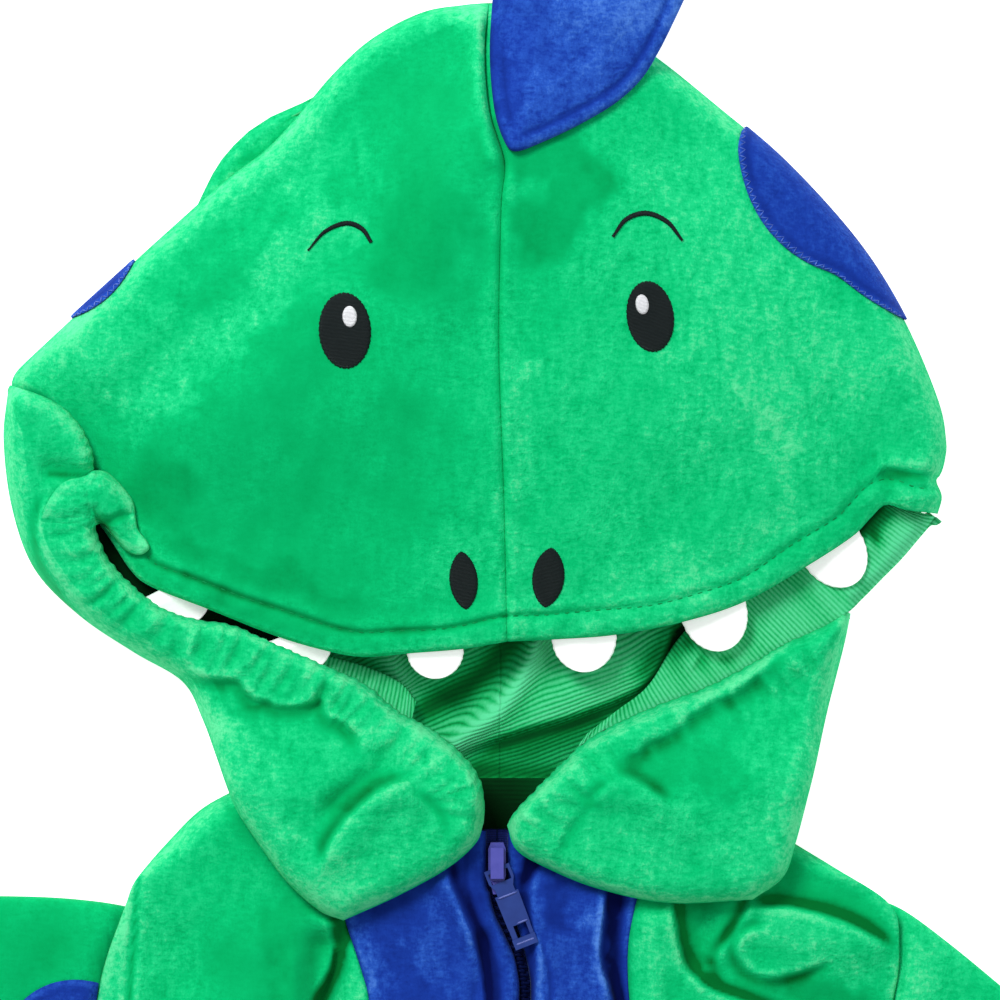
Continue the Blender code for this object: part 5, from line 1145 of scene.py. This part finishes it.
print("teeth")
teeth = {
    "thick": 1.2, "root": 4.0,
    # x, y, direction, width, length, droop
    "rows": [(-99.5, 79.2, -63, 19.5, 10.0, 2.6), (-61.5, 64.4, -68, 19.0, 9.5, 2.4),
             (-20.0, 61.8, -88, 17.5, 8.6, 1.2), (26.0, 66.0, -87, 20.0, 10.8, 1.4),
             (66.2, 73.8, -72, 20.5, 12.4, 0.6), (103.0, 93.4, -56, 20.0, 13.0, 0.3)],
}
for number, (x, y, angle, width, length, droop) in enumerate(teeth["rows"], 1):
    turned = math.radians(angle)
    out = np.array([math.cos(turned), math.sin(turned)])
    sideways = np.array([-out[1], out[0]])
    along = np.concatenate([np.linspace(-teeth["root"], 0, 6),
                            length * np.sin(np.radians(np.linspace(4, 88, 26)))])
    roundPart = np.clip(along / length, 0, 1)
    half = np.where(along < 0, width / 2, width / 2 * np.sqrt(1 - roundPart**2))
    ragged = 1 + 0.012 * np.sin(np.arange(len(along)) * 1.7 + number)
    plan = np.array([[np.array([x, y]) + out * a + sideways * h * k * t for t in np.linspace(-1, 1, 25)]
                     for a, h, k in zip(along, half, ragged)])
    probes = [np.array([x, y]) + out * a + sideways * width / 2 * t for a in (-teeth["root"], -2, -0.5)
              for t in (-1, -0.5, 0, 0.5, 1)]
    roof = min(underAt(jawTrees, *probe) for probe in probes)
    rim = np.minimum(length - along, 9)[:, None] * np.ones(25)
    side = half[:, None] * (1 - np.abs(np.linspace(-1, 1, 25)))
    height = (roof - 0.45 - droop * (1 - (1 - roundPart[:, None]) ** 2)
              - 0.45 * (1 - rolled(np.minimum(rim, side), 0.6)))
    clothPiece(f"tooth_{number}", np.dstack([plan, height]), [whiteFelt, whiteFelt],
               thick=teeth["thick"] - 0.3)

print("embroidery")
embroidery = {
    # x, y, half width, half height, tilt, pointedness, lift, thread
    "eye_left": (-47.7, 160.6, 8.1, 11.8, 3, 1.0, 0.35, blackThread),
    "eye_right": (46.2, 164.9, 7.3, 11.0, 8, 1.0, 0.35, blackThread),
    "glint_left": (-46.2, 164.9, 2.4, 3.5, 3, 1.0, 1.15, whiteThread),
    "glint_right": (43.7, 168.6, 2.2, 3.3, 8, 1.0, 1.15, whiteThread),
    "nostril_left": (-11.2, 83.7, 4.4, 9.0, 5, 1.35, 0.35, blackThread),
    "nostril_right": (14.9, 84.6, 5.0, 9.3, -6, 1.35, 0.35, blackThread),
}


def satinPad(name, x, y, wide, high, tilt, point, lift, finish):
    count, rings = 150, 16
    t = np.arange(count) * math.tau / count
    ragged = 1 + 0.012 * np.sin(t * 61) + 0.01 * np.sin(t * 37 + 1)
    a = wide * np.sign(np.cos(t)) * np.abs(np.cos(t)) ** point * ragged
    b = high * np.sin(t) * ragged
    tilted = math.radians(tilt)
    edge = np.stack([a * math.cos(tilted) - b * math.sin(tilted),
                     a * math.sin(tilted) + b * math.cos(tilted)], -1)
    shares = np.concatenate([[1.0, 0.985, 0.95], np.linspace(0.9, 0.06, rings - 3)])
    corners = []
    for share in shares:
        plan = (x, y) + edge * share
        puff = 0.75 * rolled(np.full(count, (1 - share) * min(wide, high)), 1.6)
        top = topsAt(jawTrees, plan) - 0.15 + lift * min(1, puff.max() * 2) + puff
        corners.append(np.column_stack([plan, top]))
    grid = np.array(corners)
    centre = grid[-1].mean(0)
    flat = grid.reshape(-1, 3)
    bottom = grid[0] - (0, 0, 0.5)
    corners = np.vstack([flat, [centre], bottom, [centre - (0, 0, 1.2)]])
    faces = ringFaces(rings, count)
    last, low = (rings - 1) * count, rings * count + 1
    for c in range(count):
        d = (c + 1) % count
        faces += [(last + c, last + d, rings * count), (low + d, low + c, low + count),
                  (low + c, low + d, d, c)]
    run = corners[:, 1] * math.cos(tilted) - corners[:, 0] * math.sin(tilted)
    meshPiece(name, corners, faces, [finish], None, {"ribs": run, "tone": np.zeros(len(corners))})


for name, row in embroidery.items():
    satinPad(name, *row)

brows = {
    "brow_left": ([(-59.2, 185.4), (-54, 191.2), (-47.5, 193.8), (-42.5, 192), (-39.7, 187.9)], 0.45, 1.0),
    "brow_right": ([(34.7, 189.4), (38.8, 194.8), (45, 196.8), (51.5, 194.2), (56.1, 188.5)], 0.8, 0.8),
}
for name, (line, startWide, endWide) in brows.items():
    shares = np.linspace(0, 1, 90)
    middle = pointsAt(curve(line), shares)
    step = np.gradient(middle, axis=0)
    sideways = np.stack([-step[:, 1], step[:, 0]], -1) / np.linalg.norm(step, axis=1, keepdims=True)
    wide = ((startWide + (endWide - startWide) * shares)
            * (0.35 + 0.65 * np.sin(math.pi * np.clip(shares, 0.06, 0.94)) ** 0.6))
    wide *= 1 + 0.1 * np.sin(shares * 190)
    t = np.linspace(-1, 1, 7)
    plan = middle[:, None] + sideways[:, None] * (wide[:, None] * t)[..., None]
    height = topsAt(jawTrees, plan) + 0.25 + 0.5 * np.sqrt(np.maximum(0, 1 - t**2))
    clothPiece(name, np.dstack([plan, height]), [blackThread, blackThread], thick=0.5,
               ribs=shares[:, None] * 30 + 0 * t)


def closedOutline(points):
    return pointsAt(curve(points + points[:1]), np.linspace(0, 1, 221)[:-1])


def ringsIn(outline, shares):
    # rings of points from an outline in towards its middle
    centre = outline.mean(0)
    return centre, np.array([centre + (outline - centre) * share for share in np.concatenate(shares)])


def highestAbout(trees, plan, reach, spare=0.0):
    # the top of what lies under each place and just beside it
    shifts = ((0, 0), (reach, 0), (-reach, 0), (0, reach), (0, -reach))
    return np.max([topsAt(trees, plan + shift, spare) for shift in shifts], 0)


def padMesh(name, centre, plan, high, low, tone, middleTone, material):
    # a closed pad: rings above and below, each closed by a point in the middle
    rings, count = plan.shape[:2]
    under, last = rings * count + 1, (rings - 1) * count
    corners = np.vstack([np.dstack([plan, high]).reshape(-1, 3), [(*centre, high[-1].mean())],
                         np.dstack([plan, low]).reshape(-1, 3), [(*centre, low[-1].mean())]])
    faces = ringFaces(rings, count)
    faces += [tuple(k + under for k in quad[::-1]) for quad in faces]
    for c in range(count):
        d = (c + 1) % count
        faces += [(last + c, last + d, under - 1), (under + last + d, under + last + c, 2 * under - 1),
                  (c, c + under, d + under, d)]
    marks = np.concatenate([tone.ravel(), [middleTone], tone.ravel(), [middleTone]])
    meshPiece(name, corners, faces, [material], None, {"tone": marks, "ribs": corners[:, 0]})


print("crest")
fin = {
    "outline": [(-2.2, 266), (-3.2, 246.4), (-1.8, 229), (1.2, 219), (4.6, 215.6), (12.7, 218.4), (24.2, 224),
                (35.6, 231), (43.6, 238.5), (49, 247), (54, 257), (59, 268), (63.5, 280), (61, 282.5),
                (48, 281.5), (28, 277.5), (10, 271.5)],
    "puff": 4.6, "edge": 1.3, "seam": 4.2,
    "nap": [(20, 262, 44, 262, 10, 0.5), (8, 235, 24, 236, 9, 0.25), (0, 250, 2, 228, 4, -0.5),
            (30, 240, 46, 262, 4, 0.25)],
}


def crest():
    outline = closedOutline(fin["outline"])
    centre, plan = ringsIn(outline, [[1.0, 0.994, 0.98, 0.96, 0.93], np.linspace(0.9, 0.03, 26)])
    past = np.where(within(plan, hoodLoop), 0, gapTo(plan, hoodLoop))
    low = np.maximum(highestAbout(jawTrees, plan, 1.5, -50.0) + 0.35, 14.2 - 0.2 * past)
    low = np.maximum(low, blurred(low, 3, True))
    away = gapTo(plan, np.vstack([outline, outline[:1]]))
    root = bell(gapTo(plan, curve(fin["outline"][:5])), 5)
    puff = fin["edge"] + fin["puff"] * np.sqrt(np.clip(away / 15, 0, 1))
    puff += -0.9 * bell(away - fin["seam"], 1.0) * (1 - root) + 0.25 * waver(plan, 20, 51)
    high = low + puff - 0.7 * (1 - rolled(away, 1.2))
    # painted highlight along the fin's rolled edge, and painted shade in its seam's groove and along its root
    tone = patches(plan, fin["nap"]) + 0.3 + 0.35 * bell(away - 1.2, 1.4) * (1 - root)
    tone -= 0.7 * bell(away - fin["seam"], 0.9) * (1 - root) + 0.5 * root * bell(away, 1.6)
    padMesh("fin", centre, plan, high, low, tone, 0.3, bluePlush)


crest()

print("spots")
spots = {
    "lift": 0.3, "thick": 0.7,
    "right": ((76.0, 223.5), (126.0, 164.4), 21.0),
    "left": ((-113.5, 183.0), (-133.0, 165.2), 3.6),
}


def edgeSpot(name, panel, outline, start, stop, depth):
    # the spot wraps over the hood's edge, so its points are the panel's own, moved out
    grid, normal = garments[panel]
    line = curve(outline)
    first, last = shareNear(line, np.array(start)), shareNear(line, np.array(stop))
    rowShares = jawRows()
    rows = []
    for v, share in zip(np.linspace(first, last, 84), np.linspace(0.004, 0.996, 84)):
        r = np.clip(np.searchsorted(rowShares, v) - 1, 0, len(rowShares) - 2)
        t = (v - rowShares[r]) / (rowShares[r + 1] - rowShares[r])
        place = grid[r] * (1 - t) + grid[r + 1] * t
        out = normal[r] * (1 - t) + normal[r + 1] * t
        back = np.linalg.norm(place[-1, :2] - place[:, :2], axis=1)[::-1]
        reach = max(0.5, depth * math.sin(math.pi * share) ** 0.75)
        steps = reach * np.linspace(0, 1, 34) ** 1.2
        row = np.stack([np.interp(steps, back, place[::-1, k]) for k in range(3)], -1)
        push = np.stack([np.interp(steps, back, out[::-1, k]) for k in range(3)], -1)
        puff = 0.5 * rolled(reach - steps, 1.2)
        rows.append(row + push * (spots["lift"] + spots["thick"] + puff - 0.5)[:, None])
    made = np.array(rows)
    made[..., 2] = np.maximum(made[..., 2], 0.6)
    # painted shade just inside the zigzag, a painted highlight at the spot's edge, and a painted highlight
    # low down where it rolls round the hood's edge
    inner = gapTo(made[..., :2], made[:, -1, :2])
    tone = (0.05 - 0.55 * bell(inner - 2.6, 1.4) + 0.45 * bell(inner, 1.2)
            + 0.4 * (1 - ease(made[..., 2] / 12)))
    clothPiece(name, made, [bluePlush, blueRibbed], thick=spots["thick"], floor=0.4, tone=tone)
    border = made[:, -1]
    inside = made[:, -9] - border
    tuck = border + inside * (2.3 / np.maximum(np.linalg.norm(inside, axis=1), 2.3))[:, None]
    runs, count = [], int(lengthOf(border) / 1.35)
    ends = np.linspace(0.03, 0.97, count)
    for k in range(count - 1):
        a = pointsAt(border if k % 2 else tuck, ends[k]) + (0, 0, 0.35)
        b = pointsAt(tuck if k % 2 else border, ends[k + 1]) + (0, 0, 0.35)
        runs.append([a, (a + b) / 2 + (0, 0, 0.12), b])
    threads(name + "_zigzag", runs, 0.26, blueThread)


edgeSpot("spot_hood_right", "face_right", jaw["right"], *spots["right"])
edgeSpot("spot_hood_left", "face_left", jaw["left"], *spots["left"])


def flatPad(name, outline, trees, lift, thick, puff, material, shares, tone, reach, sunk=None):
    # a piece of cloth that lies on others, and may sink into them at one end
    centre, plan = ringsIn(outline, shares)
    under = highestAbout(trees, plan, reach)
    low = blurred(under, 2, True) * 0.5 + under * 0.5 + lift
    away = gapTo(plan, np.vstack([outline, outline[:1]]))
    high = low + thick + puff(plan, away, low)
    if sunk:
        depth = sunk(plan)
        share = depth / depth.max()
        high = high * (1 - share) + (low + 0.6) * share - depth
        low = low - depth
    shade = tone(plan, away)
    padMesh(name, centre, plan, high, low, shade, shade.mean(), material)


sleeveSpot = {"x": -131.5, "y": -62.8, "half": 23.0}
turnBy = np.arange(120) * math.tau / 120
ringSpot = np.stack([sleeveSpot["x"] + sleeveSpot["half"] * np.cos(turnBy),
                     sleeveSpot["y"] + sleeveSpot["half"] * np.sin(turnBy)], -1)
ringSpot[:, 0] = np.minimum(ringSpot[:, 0], xOn(bodyLeft, ringSpot[:, 1]) - 0.3)
# the spot's tone: a painted highlight at its edge and painted shade just inside it
flatPad("spot_sleeve_left", ringSpot, treeOf("sleeve_left"), 0.35, 0.5,
        lambda xy, away, low: 0.5 * rolled(away, 1.2), bluePlush, [np.linspace(1, 0.05, 20)],
        lambda xy, away: 0.3 * bell(away - 1, 1.2) - 0.4 * bell(away - 2.8, 1), 0.5)

corner = {
    "outline": [(-142.6, 98), (-141.5, 103.5), (-139.2, 108.5), (-136.7, 112.2), (-133.4, 114.6),
                (-128.6, 115.8), (-125.6, 117.6), (-122.4, 117.4), (-119.6, 115.4), (-116.4, 112),
                (-113.6, 107.9), (-112.8, 103), (-112, 99.2), (-109.4, 96), (-108.5, 93.6), (-110.4, 91.8),
                (-113, 91.6), (-116, 92.9), (-118.8, 96), (-121.4, 99.6), (-124, 101.2), (-127.4, 98.6),
                (-131.8, 96), (-138, 95.4)],
    "folds": [(-121.5, 101.6, -116.6, 103.8, -113.4, 103.4, 1.3, -1.5),
              (-129.6, 104.4, -124.6, 106, 1.6, -0.8), (-130, 113.6, -126, 113.2, 1.4, -0.5)],
    "shade": [(-121.5, 101.2, -116.6, 103.4, 1.5, -1.1), (-123.4, 102.6, -120.8, 99.8, 1.5, -0.8),
              (-126, 113, -119, 112, -115, 106.6, 2.2, 0.5), (-137, 108.6, -133, 111.6, 2.0, 0.4),
              (-112, 95, -110.4, 93.6, 2.2, 0.5), (-123, 108.5, -118.5, 106.5, 2.6, -0.3)],
}


def cornerSunk(xy):
    # its lower left end runs on into the casing
    return 2.6 * (1 - ease((xy[..., 1] - 96) / 12)) * (1 - ease((xy[..., 0] + 127) / 5))


def cornerPuff(xy, away, low):
    # the casing bends over here: an even tube from the cheek's height down to the face's
    crown = 18.2 - 3.6 * ease((xy[..., 0] + 126) / 15)
    least = 0.4 + 2.2 * ease((xy[..., 0] + 131) / 7)
    return np.maximum(least, crown - low) * rolled(away, 5.5) + strokes(xy, corner["folds"]) * ease(away / 2)


def cornerTone(xy, away):
    # a painted highlight along the arch's rim where it stands clear of the casing, with the shade table's
    # painted shade and highlights
    return 0.6 * bell(away - 1, 1.6) * (cornerSunk(xy) < 1) + 0.3 + strokes(xy, corner["shade"])


flatPad("casing_corner_left", closedOutline(corner["outline"]), treeOf("face_left", "cheek_left"), 0.4, 1.1,
        cornerPuff, greenPlush, [[1, 0.985, 0.96], np.linspace(0.93, 0.04, 30)],
        cornerTone, 1.0, cornerSunk)

print("stitching")


def stitchRow(name, line, trees, length, gap, radius, finish, sink=0.25):
    total = lengthOf(line)
    count = int(total / (length + gap))
    runs = []
    for k in range(count):
        a = (k * (length + gap) + gap) / total
        shares = np.linspace(a, a + length / total, 5)
        plan = pointsAt(line, shares)
        lift = np.array([-0.2, 0.1, 0.2, 0.1, -0.2])
        z = np.array([topAt(trees, x, y) for x, y in plan])
        if z.min() > -40:
            runs.append(np.column_stack([plan, z + lift + radius - sink]))
    threads(name, runs, radius, finish)


def hemStitchLine():
    # the hem's stitching, at its distance above the edge
    share = np.linspace(0.012, 0.985, 400)
    points = pointsAt(hemLine, share)
    step = np.gradient(points, axis=0)
    out = np.stack([-step[:, 1], step[:, 0]], -1) / np.linalg.norm(step, axis=1, keepdims=True)
    return points + out * stitchHeight(share)[:, None]


stitchRow("hem_stitching", hemStitchLine(), jawTrees, 2.5, 0.7, 0.22, greenThread, 0.36)
frontTrees = treeOf("front_left", "front_right")
for number, side in enumerate((-1, 1), 1):
    line = curve([(side * x, body["hem"] + body["hemTurn"]) for x in (38, 80, 120)])
    stitchRow(f"leg_hem_stitching_{number}", line, frontTrees, 2.5, 0.7, 0.22, greenThread)

print("zip")


def tapeFinish():
    f = Finish("zipTape", Roughness=0.8, Specular_IOR_Level=0.2)
    weave = f.wave(f.mark("ribs") * 1.4) * 0.6 + f.noise(1600, 2.0) * 0.4
    # a navy weave, made darker than its own colour as painted shade of the groove it lies in
    f.paint(f.mix(weave, (0.002, 0.005, 0.07, 1), (0.006, 0.018, 0.16, 1)))
    f.bump(weave, 0.5, 0.0003)
    return f.material


def paintFinish(name, deep, light, rough, gloss=0.25):
    f = Finish(name, Specular_IOR_Level=gloss, Coat_Weight=gloss / 2, Coat_Roughness=0.25)
    wear = f.noise(260, 3.0, 0.6)
    f.paint(f.mix(wear, (*deep, 1), (*light, 1)), wear * 0.15 + rough)
    f.bump(wear, 0.06, 0.0002)
    return f.material


zipTape = tapeFinish()
tabPaint = paintFinish("tabPaint", (0.006, 0.024, 0.16), (0.014, 0.045, 0.24), 0.5)
sliderPaint = paintFinish("sliderPaint", (0.045, 0.05, 0.3), (0.09, 0.09, 0.42), 0.3)
# the teeth are near-black, darker than their own navy: painted shade of the groove between the belly's edges
toothPaint = paintFinish("toothPaint", (0.0008, 0.002, 0.02), (0.002, 0.006, 0.05), 0.8, 0.03)
tabHighlightPaint = paintFinish("tabHighlightPaint", (0.045, 0.07, 0.3), (0.13, 0.17, 0.48), 0.35)

zipParts = {"tapeTop": 11.2, "chainTop": 11.7, "pitch": 2.54, "pivot": (-0.9, -5.6, 16.8), "tilt": 21.4}
zipY = np.linspace(6.5, body["bellyEnd"] + 4, 260)
zipX = xOn(zipLine, zipY)
for name, side in (("zip_tape_left", -1), ("zip_tape_right", 1)):
    reach = np.array([0.12, 0.8, 1.6, 2.1, 2.4, 2.7, 3.4, 4.5, 6, 7.8, 9.5])
    plan = np.dstack([zipX[:, None] + side * reach, np.repeat(zipY[:, None], len(reach), 1)])
    height = zipParts["tapeTop"] - 1.2 * (1 - ease((reach - 2) / 0.8)) + 0.1 * np.sin(zipY / 7)[:, None] - 0.1
    clothPiece(name, np.dstack([plan, height]), [zipTape, zipTape], thick=0.7,
               ribs=np.repeat(zipY[:, None], len(reach), 1))


def zipTeeth():
    # moulded teeth, taken in turn from the left and the right
    corners, faces = [], []
    run = np.concatenate([[0], np.cumsum(np.hypot(np.diff(zipX), np.diff(zipY)))])
    for k, place in enumerate(np.arange(12, run[-1] - 1, zipParts["pitch"] / 2)):
        x, y = np.interp(place, run, zipX), np.interp(place, run, zipY)
        ahead = np.interp(place + 1, run, zipX) - x
        side = 1 if k % 2 else -1
        shape = [(-2.2, -0.45), (-0.6, -0.45), (0.1, -0.75), (0.8, -0.6), (1.0, 0), (0.8, 0.6), (0.1, 0.75),
                 (-0.6, 0.45), (-2.2, 0.45)]
        start = len(corners)
        for size, z in ((0.86, -1.7), (1.0, -1.3), (1.0, -0.35), (0.84, 0.0)):
            for a, b in shape:
                px, py = a * size * -side, b * size
                corners.append((x + px - py * ahead, y + py + px * ahead * 0.2, zipParts["chainTop"] + z))
        n = len(shape)
        faces += ringFaces(4, n, start)
        faces.append(tuple(start + c for c in range(n))[::-1])
        faces.append(tuple(start + 3 * n + c for c in range(n)))
    meshPiece("zip_chain", np.array(corners), faces, [toothPaint])


zipTeeth()
for node, paint, width in (("zip_slider", sliderPaint, 0.35), ("zip_pull_tab", tabPaint, 0.16)):
    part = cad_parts[node]
    for slot in part.material_slots:
        slot.material = paint
    bevel = part.modifiers.new("soft edges", "BEVEL")
    bevel.width = width * mm
    bevel.segments = 3
    bevel.limit_method = "ANGLE"
    bevel.angle_limit = math.radians(40)


def tabPoint(x, y, z):
    # a place on the pull tab, measured from its hinge
    px, py, pz = zipParts["pivot"]
    c, s = math.cos(math.radians(zipParts["tilt"])), math.sin(math.radians(zipParts["tilt"]))
    return (px + x * c - y * s, py + x * s + y * c, pz + z)


# the tab's raised bars, in a lighter blue that is a painted highlight on them
tabBars = [[(-3.3, -8.6, 0.6), (3.3, -8.6, 0.6)], [(-0.4, -17.8, 0.6), (3.2, -17.8, 0.6)],
           [(-3.4, -23.8, 1.3), (3.4, -23.8, 1.3)]]
threads("tab_rim", [[tabPoint(*point) for point in pointsAt(np.array(run), np.linspace(0, 1, 8))]
                    for run in tabBars], 0.32, tabHighlightPaint, 8, 1.0, "pull_tab")


def lowerLug():
    # the slider's small wedge below its crown
    px = zipParts["pivot"][0]
    corners = []
    for size, z in ((1.0, 15.4), (1.0, 16.3), (0.7, 16.8)):
        corners += [(px - 2.0 * size, -9.4 - (1 - size), z), (px + 2.0 * size, -9.4 - (1 - size), z),
                    (px + 0.3, -13.2 + (1 - size), z), (px - 0.3, -13.2 + (1 - size), z)]
    faces = [(3, 2, 1, 0), (8, 9, 10, 11)] + ringFaces(3, 4)
    meshPiece("slider_wedge", np.array(corners), faces, [sliderPaint], smooth=False)


lowerLug()

print("table, light and camera")
stage = {"half": 6.0, "drop": 0.0002, "sky": 0.56, "key": 50.0, "height": 2.0, "middle": 0.1085,
         "width": 0.31, "glow": 0.75}


def tableFinish():
    f = Finish("whiteTable", Roughness=0.9, Specular_IOR_Level=0.1)
    grain = f.noise(6, 2.0)
    f.paint(f.mix(grain, (0.93, 0.93, 0.93, 1), (0.95, 0.95, 0.95, 1)))
    f.shader.inputs["Emission Color"].default_value = (1, 1, 1, 1)  # a lit table, so no shadow shows on it
    f.shader.inputs["Emission Strength"].default_value = stage["glow"]
    return f.material


tableMesh = bpy.data.meshes.new("table")
h = stage["half"]
tableMesh.from_pydata([(-h, -h, -stage["drop"]), (h, -h, -stage["drop"]), (h, h, -stage["drop"]),
                       (-h, h, -stage["drop"])], [], [(0, 1, 2, 3)])
tableMesh.materials.append(tableFinish())
table = bpy.data.objects.new("table", tableMesh)
bpy.context.scene.collection.objects.link(table)

world = bpy.data.worlds.new("studio")
world.use_nodes = True
world.node_tree.nodes["Background"].inputs["Color"].default_value = (1, 1, 1, 1)
world.node_tree.nodes["Background"].inputs["Strength"].default_value = stage["sky"]
bpy.context.scene.world = world


def softLight(name, spot, aim, size, power):
    light = bpy.data.lights.new(name, "AREA")
    light.shape = "SQUARE"
    light.size = size
    light.energy = power
    made = bpy.data.objects.new(name, light)
    made.location = spot
    made.rotation_euler = (Vector(aim) - Vector(spot)).to_track_quat("-Z", "Y").to_euler()
    bpy.context.scene.collection.objects.link(made)


softLight("key", (-0.9, 1.5, 1.7), (0, 0.05, 0), 0.8, stage["key"])
softLight("fill", (1.3, 0.2, 2.0), (0, 0.05, 0), 1.4, stage["key"] * 0.16)

bpy.context.scene.view_settings.view_transform = "Standard"
bpy.context.scene.view_settings.look = "None"
camera = bpy.data.objects.new("camera", bpy.data.cameras.new("camera"))
camera.data.type = "PERSP"
camera.data.sensor_width = 36.0
camera.data.lens = 36.0 * (stage["height"] - 0.010) / stage["width"]
camera.data.clip_end = 20.0
camera.location = (0, stage["middle"], stage["height"])
bpy.context.scene.collection.objects.link(camera)
bpy.context.scene.camera = camera

print("triangles", sum(len(p.data.polygons) * 2 for p in pieces.values() if p.type == "MESH"))
